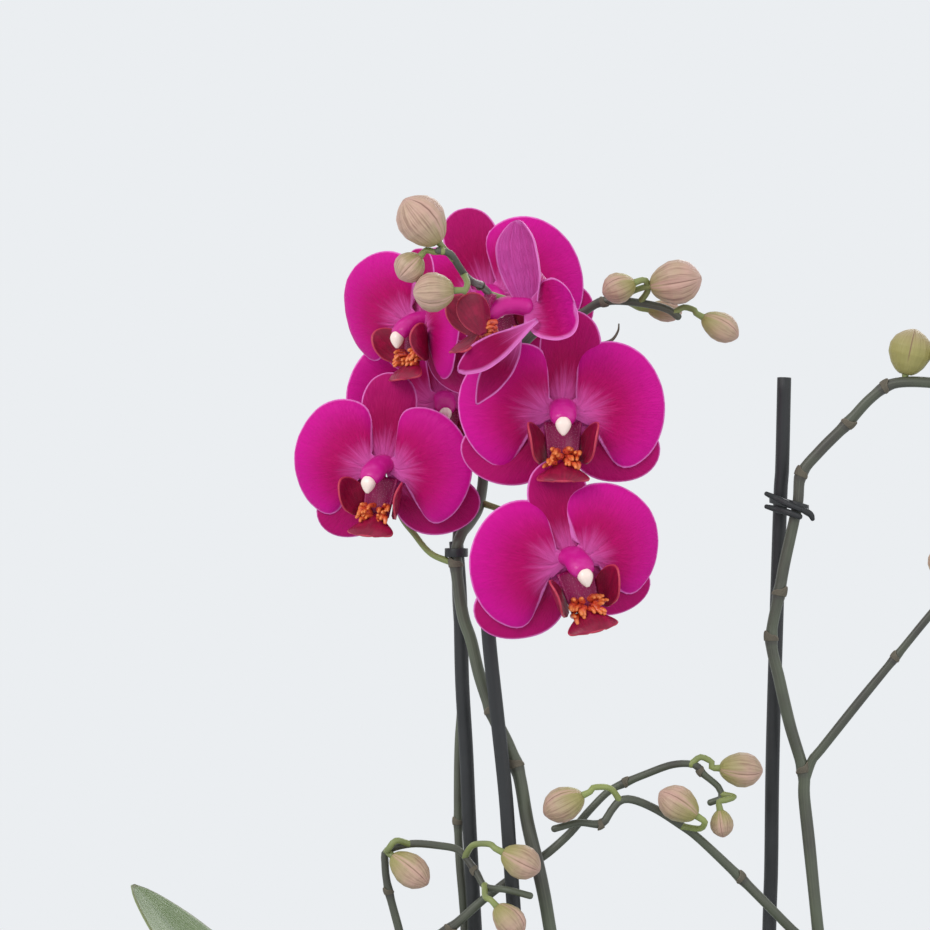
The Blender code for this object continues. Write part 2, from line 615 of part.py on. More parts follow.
def build_spike(name, azimuth, height, way, radii, branches, pedicels, finish):
    """A flower spike with its side branches and pedicels, all one piece."""
    foot = [from_crown(azimuth, TOUCH_GAP, height), from_crown(azimuth, 5, height + 1)]
    route = smooth_route([on_plant(point) for point in foot + list(way)], STEM_STEP)
    stem = tube(name, route, radii, finish)
    pieces = []
    for number, (branch, branch_radii) in enumerate(branches):
        route = smooth_route([on_plant(point) for point in branch], STEM_STEP)
        pieces.append(tube(f"{name}_branch_{number}", route, branch_radii, finish))
    for number, pedicel in enumerate(pedicels):
        route = smooth_route(pedicel, PEDICEL_STEP)
        radii = (PEDICEL_RADIUS, PEDICEL_RADIUS)
        pieces.append(tube(f"{name}_pedicel_{number}", route, radii, finish))
    return combine(stem, pieces)


def main():
    for old in list(bpy.data.objects):
        bpy.data.objects.remove(old)
    finishes = {
        "stem": material("stem", STEM_COLOUR, 0.5),
        "petal": material("petal", PETAL_COLOUR, 0.45),
        "sepal": material("sepal", SEPAL_COLOUR, 0.45),
        "lip": material("lip", LIP_COLOUR, 0.35),
        "bud": material("bud", BUD_COLOUR, 0.5),
        "leaf": material("leaf", LEAF_COLOUR, 0.35),
        "stake": material("stake", STAKE_COLOUR, 0.4),
        "bark": material("bark", BARK_COLOUR, 0.9),
        "pot": material("pot", POT_COLOUR, 0.25),
        "root": material("root", ROOT_COLOUR, 0.6),
    }
    stakes = stake_routes()
    build_pot(finishes["pot"])
    build_bark(stakes, finishes["bark"])
    build_crown(finishes["leaf"])
    for leaf in LEAVES:
        build_leaf(*leaf, finishes["leaf"])
    for root in ROOTS:
        build_root(*root, finishes["root"])
    for name, points in stakes.items():
        tube(name, points, (STAKE_RADIUS, STAKE_RADIUS), finishes["stake"], sides=10)
    build_clip("clip_left", (-69.6, STAKE_FRONT), (-69.7, -21), STAKE_RADIUS + CLIP_CLEARANCE,
               MAIN_SPIKE_RADIUS + CLIP_CLEARANCE, 370.5, finishes["stake"])
    build_clip("clip_right", (66.9, STAKE_BACK), (73.6, -6), STAKE_RADIUS + CLIP_CLEARANCE,
               RIGHT_SPIKE_RADIUS + CLIP_CLEARANCE, 391.6, finishes["stake"])
    pedicels = {name: [] for name in SPIKES}
    for name, spec in FLOWERS.items():
        pedicels[spec[5]].append(build_flower(name, spec, finishes))
    for name, (base, tip, radius, spike, way) in BUDS.items():
        end = build_bud(name, base, tip, radius, finishes["bud"])
        pedicels[spike].append([on_plant(point) for point in way] + end)
    for name, spec in SPIKES.items():
        build_spike(name, *spec, pedicels[name], finishes["stem"])


main()
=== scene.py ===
"""Looks of a potted moth orchid: seven open flowers and nineteen buds on four stems, three stakes with
clips, five leaves, two aerial roots, bark and a white pot.

Lengths are in millimetres until a piece is made. Places on the plant are (x, y, height above the bark).
A flower's own axes are x to its right, y to its back and z up, with its face towards -y.
"""

import json
import logging
from collections.abc import Sequence
from dataclasses import dataclass
from enum import Enum
from math import cos, pi, radians, sin
from typing import Any

import bpy
import numpy as np
from mathutils import Euler, Matrix, Vector

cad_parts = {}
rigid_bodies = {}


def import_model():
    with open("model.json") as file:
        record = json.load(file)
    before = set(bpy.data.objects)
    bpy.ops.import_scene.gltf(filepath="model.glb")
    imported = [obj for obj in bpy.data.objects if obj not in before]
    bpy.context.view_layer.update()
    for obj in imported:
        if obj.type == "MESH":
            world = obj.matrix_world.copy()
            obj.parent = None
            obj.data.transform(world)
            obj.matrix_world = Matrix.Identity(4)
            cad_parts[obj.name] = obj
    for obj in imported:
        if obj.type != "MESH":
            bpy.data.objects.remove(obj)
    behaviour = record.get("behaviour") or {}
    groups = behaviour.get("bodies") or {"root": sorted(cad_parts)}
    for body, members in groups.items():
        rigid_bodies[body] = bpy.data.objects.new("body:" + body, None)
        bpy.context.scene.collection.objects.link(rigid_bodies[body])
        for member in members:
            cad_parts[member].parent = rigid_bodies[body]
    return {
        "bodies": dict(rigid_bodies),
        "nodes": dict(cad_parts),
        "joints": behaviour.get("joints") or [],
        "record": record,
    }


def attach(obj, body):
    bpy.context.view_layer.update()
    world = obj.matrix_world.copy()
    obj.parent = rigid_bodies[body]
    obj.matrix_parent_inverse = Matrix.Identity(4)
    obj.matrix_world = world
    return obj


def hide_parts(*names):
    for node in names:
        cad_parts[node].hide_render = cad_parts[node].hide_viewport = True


MM = 0.001
BARK_TOP = 112.0
VALUES = ("reach", "across", "rim", "back", "tone")
Colour = tuple[float, float, float]
Point = tuple[float, float, float]
log = logging.getLogger("orchid")


def screen(red: int, green: int, blue: int) -> Colour:
    """A colour given as it shows on a screen, as the linear colour that a shader takes."""
    shares = [value / 255 for value in (red, green, blue)]
    return tuple(s / 12.92 if s <= 0.04045 else ((s + 0.055) / 1.055) ** 2.4 for s in shares)


# Shader building


class Value:
    """A number on its way through a shader, which takes part in Python arithmetic."""

    def __init__(self, paint: "Paint", socket: bpy.types.NodeSocket) -> None:
        """Wraps an output socket of a node of this paint."""
        self.paint = paint
        self.socket = socket

    def __add__(self, other: Any) -> "Value":
        """The sum."""
        return self.paint.math("ADD", self, other)

    def __radd__(self, other: Any) -> "Value":
        """The sum, with a plain number first."""
        return self.paint.math("ADD", other, self)

    def __sub__(self, other: Any) -> "Value":
        """The difference."""
        return self.paint.math("SUBTRACT", self, other)

    def __rsub__(self, other: Any) -> "Value":
        """The difference, with a plain number first."""
        return self.paint.math("SUBTRACT", other, self)

    def __mul__(self, other: Any) -> "Value":
        """The product."""
        return self.paint.math("MULTIPLY", self, other)

    def __rmul__(self, other: Any) -> "Value":
        """The product, with a plain number first."""
        return self.paint.math("MULTIPLY", other, self)

    def sine(self) -> "Value":
        """The sine of the number, in radians."""
        return self.paint.math("SINE", self)

    def size(self) -> "Value":
        """The number without its sign."""
        return self.paint.math("ABSOLUTE", self)

    def step(self, low: float, high: float) -> "Value":
        """Rises smoothly from 0 at low to 1 at high."""
        node = self.paint.node(
            "ShaderNodeMapRange",
            {"interpolation_type": "SMOOTHSTEP"},
            {"Value": self, "From Min": low, "From Max": high, "To Min": 0.0, "To Max": 1.0},
        )
        return Value(self.paint, node.outputs[0])


class Paint:
    """One material, built from nodes."""

    def __init__(self, name: str) -> None:
        """Starts a material of this name with a plain surface shader."""
        self.material = bpy.data.materials.new(name)
        self.material.use_nodes = True
        self.tree = self.material.node_tree
        self.tree.nodes.clear()
        self.shader = self.tree.nodes.new("ShaderNodeBsdfPrincipled")
        output = self.tree.nodes.new("ShaderNodeOutputMaterial")
        self.tree.links.new(self.shader.outputs[0], output.inputs["Surface"])

    def connect(self, socket: bpy.types.NodeSocket, given: Any) -> None:
        """Links a value or a socket to a socket, or sets a plain number or colour on it."""
        if isinstance(given, Value):
            given = given.socket
        if isinstance(given, bpy.types.NodeSocket):
            self.tree.links.new(given, socket)
        elif isinstance(given, tuple) and socket.type == "RGBA" and len(given) == 3:
            socket.default_value = (*given, 1.0)
        else:
            socket.default_value = given

    def node(self, kind: str, settings: dict[str, Any], inputs: dict[Any, Any]) -> bpy.types.Node:
        """Adds a node.

        Args:
            kind: the node's type.
            settings: its settings, set before its sockets.
            inputs: plain values or links, by the name or the number of the socket.

        Returns:
            The node.
        """
        made = self.tree.nodes.new(kind)
        for name, setting in settings.items():
            setattr(made, name, setting)
        for name, given in inputs.items():
            self.connect(made.inputs[name], given)
        return made

    def math(self, operation: str, *given: Any) -> Value:
        """Adds a Math node on the given numbers."""
        node = self.node("ShaderNodeMath", {"operation": operation}, dict(enumerate(given)))
        return Value(self, node.outputs[0])

    def streaks(self, across: float, reach: float, tone: float, detail: float) -> Value:
        """Noise that varies this fast across the piece, along it and from one piece to the next."""
        last = self.value("tone") * tone if tone else 0.0
        place = self.point(self.value("across") * across, self.value("reach") * reach, last)
        return self.noise(place, 1.0, detail)

    def stripes(self, girth: float, reach: float, tone: float, scale: float, detail: float) -> Value:
        """Noise in stripes along a round piece, with no seam where its sides meet."""
        turn = self.value("across")
        last = self.value("reach") * reach + self.value("tone") * tone
        round_point = self.point((turn * pi).sine() * girth, ((turn + 0.5) * pi).sine() * girth, last)
        return self.noise(round_point, scale, detail)

    def value(self, name: str) -> Value:
        """One of the per-point values that the piece's mesh carries."""
        return Value(self, self.node("ShaderNodeAttribute", {"attribute_name": name}, {}).outputs["Fac"])

    def place(self) -> bpy.types.NodeSocket:
        """The surface point in metres, in the plant's own axes."""
        return self.node("ShaderNodeTexCoord", {}, {}).outputs["Object"]

    def point(self, x: Any, y: Any, z: Any) -> bpy.types.NodeSocket:
        """A vector from three numbers."""
        return self.node("ShaderNodeCombineXYZ", {}, {0: x, 1: y, 2: z}).outputs[0]

    def noise(self, where: bpy.types.NodeSocket, scale: float, detail: float = 2.0) -> Value:
        """Smooth noise from 0 to 1, about 0.5."""
        node = self.node(
            "ShaderNodeTexNoise", {}, {"Vector": where, "Scale": scale, "Detail": detail, "Roughness": 0.55}
        )
        return Value(self, node.outputs[0])

    def cells(self, where: bpy.types.NodeSocket, scale: float) -> Value:
        """Distance to the middle of the nearest of many scattered cells."""
        node = self.node("ShaderNodeTexVoronoi", {}, {"Vector": where, "Scale": scale})
        return Value(self, node.outputs["Distance"])

    def mix(self, mask: Any, first: Any, second: Any) -> bpy.types.NodeSocket:
        """The first colour where the mask is 0, and the second where it is 1."""
        node = self.node(
            "ShaderNodeMix", {"data_type": "RGBA", "clamp_factor": True}, {0: mask, 6: first, 7: second}
        )
        return node.outputs[2]

    def bump(self, height: Value, depth: float, strength: float = 1.0) -> None:
        """Raises the surface by the height, 0 to 1, times a depth in millimetres."""
        node = self.node(
            "ShaderNodeBump", {}, {"Height": height, "Distance": depth * MM, "Strength": strength}
        )
        self.connect(self.shader.inputs["Normal"], node.outputs[0])

    def surface(self, colour: Any, roughness: Any, **constants: Any) -> None:
        """Sets the shader's colour, roughness, and any plain constants by socket name."""
        self.connect(self.shader.inputs["Base Color"], colour)
        self.connect(self.shader.inputs["Roughness"], roughness)
        for name, constant in constants.items():
            self.connect(self.shader.inputs[name.replace("_", " ").title().replace("Ior", "IOR")], constant)


# Finishes


@dataclass(frozen=True)
class Finish:
    """How a kind of surface looks. Its name is its material's."""

    name: str

    def apply(self, paint: Paint) -> None:
        """Paints the surface."""
        raise NotImplementedError

    def material(self) -> bpy.types.Material:
        """Builds the material."""
        paint = Paint(self.name)
        self.apply(paint)
        return paint.material


@dataclass(frozen=True)
class TepalFinish(Finish):
    """A petal or sepal: velvet with a glow at its base, fine veins and a pale rim."""

    body: Colour
    deep: Colour
    edge: Colour
    glow: Colour = screen(234, 104, 194)
    rim: Colour = screen(236, 130, 210)
    under: Colour = screen(206, 84, 172)
    glow_reach: float = 0.48
    rim_width: float = 0.5

    def apply(self, paint: Paint) -> None:
        """Paints the surface."""
        reach = paint.value("reach")
        streaks = paint.streaks(16.0, 1.6, 9.0, 4.0)
        fine = paint.streaks(60.0, 5.0, 5.0, 3.0)
        drift = paint.noise(paint.place(), 55.0, 3.0)
        body = paint.mix((drift - 0.4) * 1.3 + (streaks - 0.5) * 0.35 + 0.3, self.body, self.deep)
        body = paint.mix(reach.step(0.45, 1.0) * 0.85, body, self.edge)
        veins = (1.0 - (fine - 0.5).size() * 9.0).step(0.35, 1.0)
        body = paint.mix(veins * 0.08 * reach.step(1.1, 0.5), body, self.deep)
        spread = reach + (0.5 - streaks) * 0.36 + (0.5 - fine) * 0.14
        glow = spread.step(self.glow_reach, 0.02)
        body = paint.mix(glow * 0.85, body, self.glow)
        rim = paint.value("rim").step(self.rim_width * 1.7, self.rim_width * 0.55)
        front = paint.mix(rim * 0.85, body, self.rim)
        ribs = paint.mix((streaks - 0.3) * 1.4, self.under, self.edge)
        behind = paint.mix(rim * 0.6, ribs, self.rim)
        colour = paint.mix(paint.value("back"), front, behind)
        velvet = paint.noise(paint.place(), 2600.0, 1.0)
        paint.surface(colour, 0.52 + (drift - 0.5) * 0.2, sheen_weight=0.03, sheen_roughness=0.4,
                      specular_ior_level=0.12, sheen_tint=screen(255, 150, 230))
        paint.bump(veins * 0.25 + streaks * 1.2 + velvet * 0.3, 0.28)


@dataclass(frozen=True)
class LipFinish(Finish):
    """The waxy lobes of a lip: dark crimson with streaks, an orange edge and a dotted base."""

    body: Colour = screen(150, 8, 56)
    dark: Colour = screen(118, 2, 46)
    bright: Colour = screen(180, 12, 74)
    edge: Colour = screen(198, 60, 84)
    base: Colour = screen(146, 14, 84)
    dots: Colour = screen(200, 120, 150)

    def apply(self, paint: Paint) -> None:
        """Paints the surface."""
        reach = paint.value("reach")
        streaks = paint.streaks(9.0, 1.2, 7.0, 4.0)
        drift = paint.noise(paint.place(), 170.0, 3.0)
        body = paint.mix((streaks - 0.35) * 2.2, self.dark, self.body)
        body = paint.mix((drift - 0.5) * 2.0, body, self.bright)
        spots = paint.cells(paint.place(), 1500.0).step(0.34, 0.2)
        dotted = paint.mix(spots * 0.75, self.base, self.dots)
        body = paint.mix(reach.step(0.34, 0.12), body, dotted)
        rim = paint.value("rim").step(0.75, 0.25)
        paint.surface(paint.mix(rim * 0.8, body, self.edge), 0.36 + drift * 0.16, coat_weight=0.12,
                      coat_roughness=0.3, specular_ior_level=0.3)
        paint.bump(streaks * 1.4 + spots * 0.5, 0.22)


@dataclass(frozen=True)
class ColumnFinish(Finish):
    """The column: magenta, paler towards its end."""

    body: Colour = screen(190, 18, 130)
    pale: Colour = screen(226, 92, 186)

    def apply(self, paint: Paint) -> None:
        """Paints the surface."""
        drift = paint.noise(paint.place(), 260.0, 3.0)
        colour = paint.mix(paint.value("reach").step(0.3, 1.0) * 0.6 + (drift - 0.5) * 0.9, self.body, self.pale)
        paint.surface(colour, 0.4, coat_weight=0.1, specular_ior_level=0.3)
        paint.bump(paint.noise(paint.place(), 900.0, 2.0), 0.12)


@dataclass(frozen=True)
class CapFinish(Finish):
    """The anther cap: creamy white with a blush at its base."""

    body: Colour = screen(240, 218, 208)
    blush: Colour = screen(228, 160, 190)

    def apply(self, paint: Paint) -> None:
        """Paints the surface."""
        drift = paint.noise(paint.place(), 420.0, 2.0)
        colour = paint.mix(paint.value("tone") * 0.7 + (drift - 0.6) * 0.7, self.body, self.blush)
        paint.surface(colour, 0.34, coat_weight=0.2, coat_roughness=0.2)
        paint.bump(drift, 0.1)


@dataclass(frozen=True)
class CallusFinish(Finish):
    """The toothed callus: orange with crimson spots and pale tips."""

    body: Colour = screen(206, 76, 44)
    spots: Colour = screen(146, 12, 48)
    tips: Colour = screen(232, 136, 66)

    def apply(self, paint: Paint) -> None:
        """Paints the surface."""
        spots = paint.cells(paint.place(), 800.0).step(0.46, 0.3)
        body = paint.mix(paint.value("reach").step(0.45, 1.0) * 0.7, self.body, self.tips)
        colour = paint.mix(spots * paint.value("reach").step(0.95, 0.2) * 0.9, body, self.spots)
        paint.surface(colour, 0.38, coat_weight=0.15)
        paint.bump(paint.noise(paint.place(), 1400.0, 2.0), 0.15)


@dataclass(frozen=True)
class BudFinish(Finish):
    """A closed bud: tan, striped lengthwise, pink along its seams with painted shade in their grooves, and green at
    its base.
    """

    tan: Colour = screen(176, 156, 126)
    pink: Colour = screen(196, 158, 144)
    green: Colour = screen(146, 142, 78)
    brown: Colour = screen(120, 84, 74)

    def apply(self, paint: Paint) -> None:
        """Paints the surface."""
        reach, across, tone = paint.value("reach"), paint.value("across"), paint.value("tone")
        streaks = paint.stripes(3.0, 0.7, 8.0, 2.4, 4.0)
        drift = paint.noise(paint.place(), 130.0, 3.0)
        ribs = (across * (pi * 9.0)).sine() * 0.5 + 0.5
        body = paint.mix((drift - 0.45) * 1.8 + (reach + tone - 0.7) * 0.5, self.tan, self.pink)
        body = paint.mix((streaks - 0.46) * 3.0, body, self.brown)
        body = paint.mix(ribs * 0.1, body, self.brown)
        body = paint.mix((reach + tone * 0.7).step(1.15, 0.4) * 0.85, body, self.green)
        seam = paint.value("rim")
        body = paint.mix(seam.step(0.3, 0.08) * seam.step(0.0, 0.09) * tone.step(-0.2, 0.8) * 0.75, body, self.pink)
        # Painted shade: a thin brown line down the middle of each seam groove.
        body = paint.mix(seam.step(0.05, 0.0) * reach.step(0.15, 0.5) * 0.85, body, self.brown)
        body = paint.mix(reach.step(0.86, 1.0) * tone.step(-0.2, 0.8) * 0.5, body, self.pink)
        paint.surface(body, 0.46 + (drift - 0.5) * 0.2, specular_ior_level=0.35)
        paint.bump(ribs * 0.4 + streaks * 1.2 + paint.noise(paint.place(), 1500.0, 1.0) * 0.4, 0.2)


@dataclass(frozen=True)
class StemFinish(Finish):
    """A flower stem: grey-green, flushed purple-brown and freckled; flower stalks are limier."""

    green: Colour = screen(82, 88, 72)
    brown: Colour = screen(64, 60, 58)
    pale: Colour = screen(112, 114, 96)
    lime: Colour = screen(136, 146, 84)

    def apply(self, paint: Paint) -> None:
        """Paints the surface."""
        streaks = paint.stripes(2.0, 2.2, 6.0, 1.3, 2.0)
        drift = paint.noise(paint.place(), 38.0, 3.0)
        body = paint.mix((drift - 0.36) * 2.6, self.green, self.brown)
        body = paint.mix((streaks - 0.52) * 1.8, body, self.pale)
        stalk = paint.mix((drift - 0.4) * 1.6, self.lime, self.green)
        body = paint.mix(paint.value("back"), body, stalk)
        joint = paint.value("rim").step(2.4, 0.4)
        body = paint.mix(joint * 0.7, body, self.brown)
        paint.surface(body, 0.42 + (streaks - 0.5) * 0.2, specular_ior_level=0.4)
        paint.bump(streaks * 1.5, 0.06)


@dataclass(frozen=True)
class DryFinish(Finish):
    """Thin dry plant skin: the bracts at the joints of a stem and old leaf sheaths."""

    body: Colour = screen(102, 96, 83)
    dark: Colour = screen(80, 74, 66)
    edge: Colour = screen(132, 120, 106)

    def apply(self, paint: Paint) -> None:
        """Paints the surface."""
        streaks = paint.streaks(12.0, 1.5, 0.0, 4.0)
        drift = paint.noise(paint.place(), 300.0, 3.0)
        body = paint.mix((streaks - 0.35) * 2.0 + (drift - 0.5), self.body, self.dark)
        body = paint.mix(paint.value("rim").step(0.8, 0.1) * 0.7, body, self.edge)
        paint.surface(body, 0.62 + drift * 0.2, specular_ior_level=0.2)
        paint.bump(streaks * 1.2, 0.15)


@dataclass(frozen=True)
class LeafFinish(Finish):
    """A thick leaf: sage green above with long faint veins and painted shade along the midrib fold, paler below."""

    body: Colour = screen(104, 124, 72)
    deep: Colour = screen(78, 102, 48)
    # Colour of the faint veins, and of the painted shade along the midrib fold.
    vein_and_fold_shade: Colour = screen(70, 94, 44)
    under: Colour = screen(134, 150, 102)
    edge: Colour = screen(120, 92, 78)

    def apply(self, paint: Paint) -> None:
        """Paints the surface."""
        reach = paint.value("reach")
        drift = paint.noise(paint.place(), 26.0, 4.0)
        veins = paint.streaks(26.0, 1.2, 9.0, 3.0)
        body = paint.mix((drift - 0.34) * 2.2, self.body, self.deep)
        body = paint.mix((veins - 0.5).size().step(0.14, 0.0) * 0.4, body, self.vein_and_fold_shade)
        # Painted shade: a dark line along the midrib, where the folded leaf's crease lies.
        body = paint.mix(paint.value("across").size().step(0.07, 0.0) * 0.8, body, self.vein_and_fold_shade)
        body = paint.mix(reach.step(0.2, 0.0) * 0.5, body, self.under)
        front = paint.mix(paint.value("rim").step(1.1, 0.2) * 0.35, body, self.edge)
        colour = paint.mix(paint.value("back"), front, self.under)
        wax = paint.noise(paint.place(), 900.0, 2.0)
        paint.surface(colour, 0.34 + drift * 0.2, coat_weight=0.12, coat_roughness=0.35)
        paint.bump(veins * 1.2 + wax * 0.3 + drift * 1.5, 0.35)


@dataclass(frozen=True)
class StakeFinish(Finish):
    """Dark moulded plastic: satin, faintly drawn lengthwise and dusty in patches."""

    body: Colour = screen(26, 28, 30)
    dust: Colour = screen(44, 46, 48)

    def apply(self, paint: Paint) -> None:
        """Paints the surface."""
        drift = paint.noise(paint.place(), 70.0, 4.0)
        fine = paint.streaks(30.0, 2.0, 0.0, 3.0)
        paint.surface(paint.mix((drift - 0.42) * 1.4 + (fine - 0.5) * 0.5, self.body, self.dust),
                      0.36 + drift * 0.22, specular_ior_level=0.5)
        paint.bump(fine + drift * 0.4, 0.1)


@dataclass(frozen=True)
class PotFinish(Finish):
    """White glazed pottery: soft waves and pinholes in the glaze, thinner and warmer on the rim."""

    glaze: Colour = screen(212, 211, 206)
    thin: Colour = screen(190, 176, 156)
    speck: Colour = screen(160, 148, 130)

    def apply(self, paint: Paint) -> None:
        """Paints the surface."""
        drift = paint.noise(paint.place(), 18.0, 3.0)
        specks = paint.cells(paint.place(), 260.0).step(0.11, 0.05)
        body = paint.mix((drift - 0.5) * 0.5, self.glaze, self.thin)
        body = paint.mix(paint.value("rim").step(1.6, 0.2) * 0.55, body, self.thin)
        body = paint.mix(specks * 0.35, body, self.speck)
        body = paint.mix(paint.value("tone"), body, self.thin)
        paint.surface(body, 0.16 + drift * 0.14 + paint.value("tone") * 0.4, coat_weight=0.5,
                      coat_roughness=0.08)
        paint.bump(drift * 2.0 - specks * 0.4, 0.35)


@dataclass(frozen=True)
class BarkFinish(Finish):
    """Potting bark: brown, furrowed, each chip of its own shade."""

    light: Colour = screen(152, 108, 74)
    dark: Colour = screen(70, 44, 30)
    grey: Colour = screen(124, 108, 94)

    def apply(self, paint: Paint) -> None:
        """Paints the surface."""
        tone = paint.value("tone")
        grain = paint.noise(paint.place(), 240.0, 6.0)
        rings = paint.streaks(3.0, 14.0, 20.0, 4.0)
        body = paint.mix(tone * 0.9 + (grain - 0.5) * 0.8, self.dark, self.light)
        body = paint.mix((rings - 0.45) * 2.4, body, self.grey)
        paint.surface(body, 0.78 + grain * 0.2, specular_ior_level=0.2)
        paint.bump(grain * 2.0 + rings * 2.0, 0.7)


@dataclass(frozen=True)
class RootFinish(Finish):
    """An aerial root: silvery skin over green, with a fresh green tip."""

    silver: Colour = screen(178, 182, 164)
    green: Colour = screen(126, 142, 98)
    tip: Colour = screen(110, 140, 60)

    def apply(self, paint: Paint) -> None:
        """Paints the surface."""
        drift = paint.noise(paint.place(), 120.0, 5.0)
        body = paint.mix((drift - 0.4) * 2.4, self.silver, self.green)
        body = paint.mix(paint.value("reach").step(0.86, 0.95), body, self.tip)
        paint.surface(body, 0.6, specular_ior_level=0.25)
        paint.bump(drift, 0.5)


# Shapes


class Form:
    """The points, faces and per-point values of one piece."""

    def __init__(self, frame: Matrix | None = None) -> None:
        """Starts an empty form, whose points are given in a frame of their own where there is one."""
        self.frame = frame or Matrix()
        self.points: list[np.ndarray] = []
        self.faces: list[tuple[int, ...]] = []
        self.values: dict[str, list[np.ndarray]] = {name: [] for name in VALUES}
        self.count = 0

    def add(self, points: np.ndarray, faces: Sequence[Sequence[int]], **values: Any) -> None:
        """Adds points and faces.

        Args:
            points: one row of three for each point, in millimetres.
            faces: the points of each face, counted from the first of these points.
            values: one number, or one for each point, for any of the per-point values.
        """
        points = np.asarray(points, float).reshape(-1, 3)
        points = points @ np.array(self.frame.to_3x3()).T + np.array(self.frame.translation)
        self.points.append(points)
        self.faces.extend(tuple(int(i) + self.count for i in face) for face in faces)
        for name in VALUES:
            given = np.asarray(values.get(name, 0.0), float).reshape(-1)
            self.values[name].append(np.broadcast_to(given, (len(points),)))
        self.count += len(points)

    def make(self, name: str, finish: bpy.types.Material, slot: str, *nodes: str) -> bpy.types.Object:
        """Makes the piece, which rides on the plant.

        Args:
            name: the piece's name.
            finish: its material.
            slot: the record's material slot that it belongs to; not used.
            nodes: the solids that it stands for.

        Returns:
            The piece.
        """
        mesh = bpy.data.meshes.new(name)
        mesh.from_pydata((np.concatenate(self.points) * MM).tolist(), [], self.faces)
        for value in VALUES:
            layer = mesh.attributes.new(value, "FLOAT", "POINT")
            layer.data.foreach_set("value", np.concatenate(self.values[value]).astype(np.float32))
        mesh.validate()
        mesh.shade_smooth()
        mesh.materials.append(finish)
        piece = bpy.data.objects.new(name, mesh)
        bpy.context.scene.collection.objects.link(piece)
        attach(piece, "root")
        if nodes:
            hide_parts(*nodes)
        log.info("%s: %d points, %d faces", name, len(mesh.vertices), len(mesh.polygons))
        return piece


def curve(points: Sequence[Sequence[float]], step: float) -> np.ndarray:
    """Points about a step apart along a smooth curve through the given points."""
    given = np.asarray(points, float)
    ends = np.vstack([2 * given[0] - given[1], given, 2 * given[-1] - given[-2]])
    route = []
    for before, start, end, after in zip(ends, ends[1:], ends[2:], ends[3:]):
        count = max(1, round(float(np.linalg.norm(end - start)) / step))
        for t in np.arange(count) / count:
            route.append(0.5 * (2 * start + (end - before) * t
                                + (2 * before - 5 * start + 4 * end - after) * t ** 2
                                + (3 * start - before - 3 * end + after) * t ** 3))
    return np.vstack(route + [given[-1]])


def even(route: np.ndarray, count: int) -> np.ndarray:
    """The same route with its points evenly spaced."""
    lengths = np.linalg.norm(np.diff(route, axis=0), axis=1)
    along = np.concatenate([[0.0], np.cumsum(lengths)])
    wanted = np.linspace(0.0, along[-1], count)
    return np.column_stack([np.interp(wanted, along, route[:, axis]) for axis in range(route.shape[1])])


def unit(vectors: np.ndarray) -> np.ndarray:
    """The vectors at length one."""
    lengths = np.linalg.norm(vectors, axis=-1, keepdims=True)
    return vectors / np.maximum(lengths, 1e-9)


def grown(point: Sequence[float]) -> np.ndarray:
    """A place on the plant as a point above the pot's base."""
    return np.array([point[0], point[1], point[2] + BARK_TOP])


def lattice(rows: int, columns: int, around: bool = False) -> list[tuple[int, int, int, int]]:
    """The faces of a grid of points, closed across its columns where it goes around."""
    faces = []
    for row in range(rows - 1):
        for column in range(columns if around else columns - 1):
            following = (column + 1) % columns
            faces.append((row * columns + column, row * columns + following,
                          (row + 1) * columns + following, (row + 1) * columns + column))
    return faces


def capped(rows: int, columns: int) -> list[tuple[int, ...]]:
    """The faces of a grid that goes around, with a flat cap on its first and its last row."""
    faces = [tuple(reversed(range(columns)))] + lattice(rows, columns, around=True)
    return faces + [tuple(range((rows - 1) * columns, rows * columns))]


def border(out: np.ndarray, across: np.ndarray, widths: np.ndarray, end: float) -> np.ndarray:
    """Each point's distance from the edge of a strap, whose last stretch counts as this long."""
    return np.minimum((1 - np.abs(across))[None, :] * widths[:, None], (1 - out[:, None]) * end)


def add_sheet(form: Form, middle: np.ndarray, facing: Sequence[float], half: Any, rim: Any, reach: Any,
              across: Any, tone: float = 0.0) -> None:
    """Adds a thin closed body around a grid of points.

    Args:
        form: the form that takes it.
        middle: the grid's points, as rows, columns and three.
        facing: the way that its front looks, roughly.
        half: half its thickness at each point.
        rim: each point's distance from the sheet's edge.
        reach: how far along the sheet each point is.
        across: how far across the sheet each point is.
        tone: a number that sets this sheet's pattern apart.
    """
    rows, columns = middle.shape[:2]
    half, rim, reach, across = [np.broadcast_to(given, (rows, columns)) for given in (half, rim, reach, across)]
    normal = unit(np.cross(np.gradient(middle, axis=0), np.gradient(middle, axis=1)))
    flipped = (normal @ np.asarray(facing, float)).mean() < 0
    normal = -normal if flipped else normal
    offset = normal * half[..., None]
    count = rows * columns
    faces = []
    for face in lattice(rows, columns):
        faces.append(face[::-1] if flipped else face)
        behind = tuple(i + count for i in face)
        faces.append(behind if flipped else behind[::-1])
    edge = list(range(columns)) + [row * columns + columns - 1 for row in range(1, rows)]
    edge += [(rows - 1) * columns + column for column in range(columns - 2, -1, -1)]
    edge += [row * columns for row in range(rows - 2, 0, -1)]
    for a, b in zip(edge, edge[1:] + edge[:1]):
        face = (b, a, a + count, b + count)
        faces.append(face[::-1] if flipped else face)
    both = np.concatenate([(middle + offset).reshape(-1, 3), (middle - offset).reshape(-1, 3)])
    form.add(both, faces, reach=np.tile(reach.reshape(-1), 2), across=np.tile(across.reshape(-1), 2),
             rim=np.tile(rim.reshape(-1), 2), back=np.repeat([0.0, 1.0], count), tone=tone)


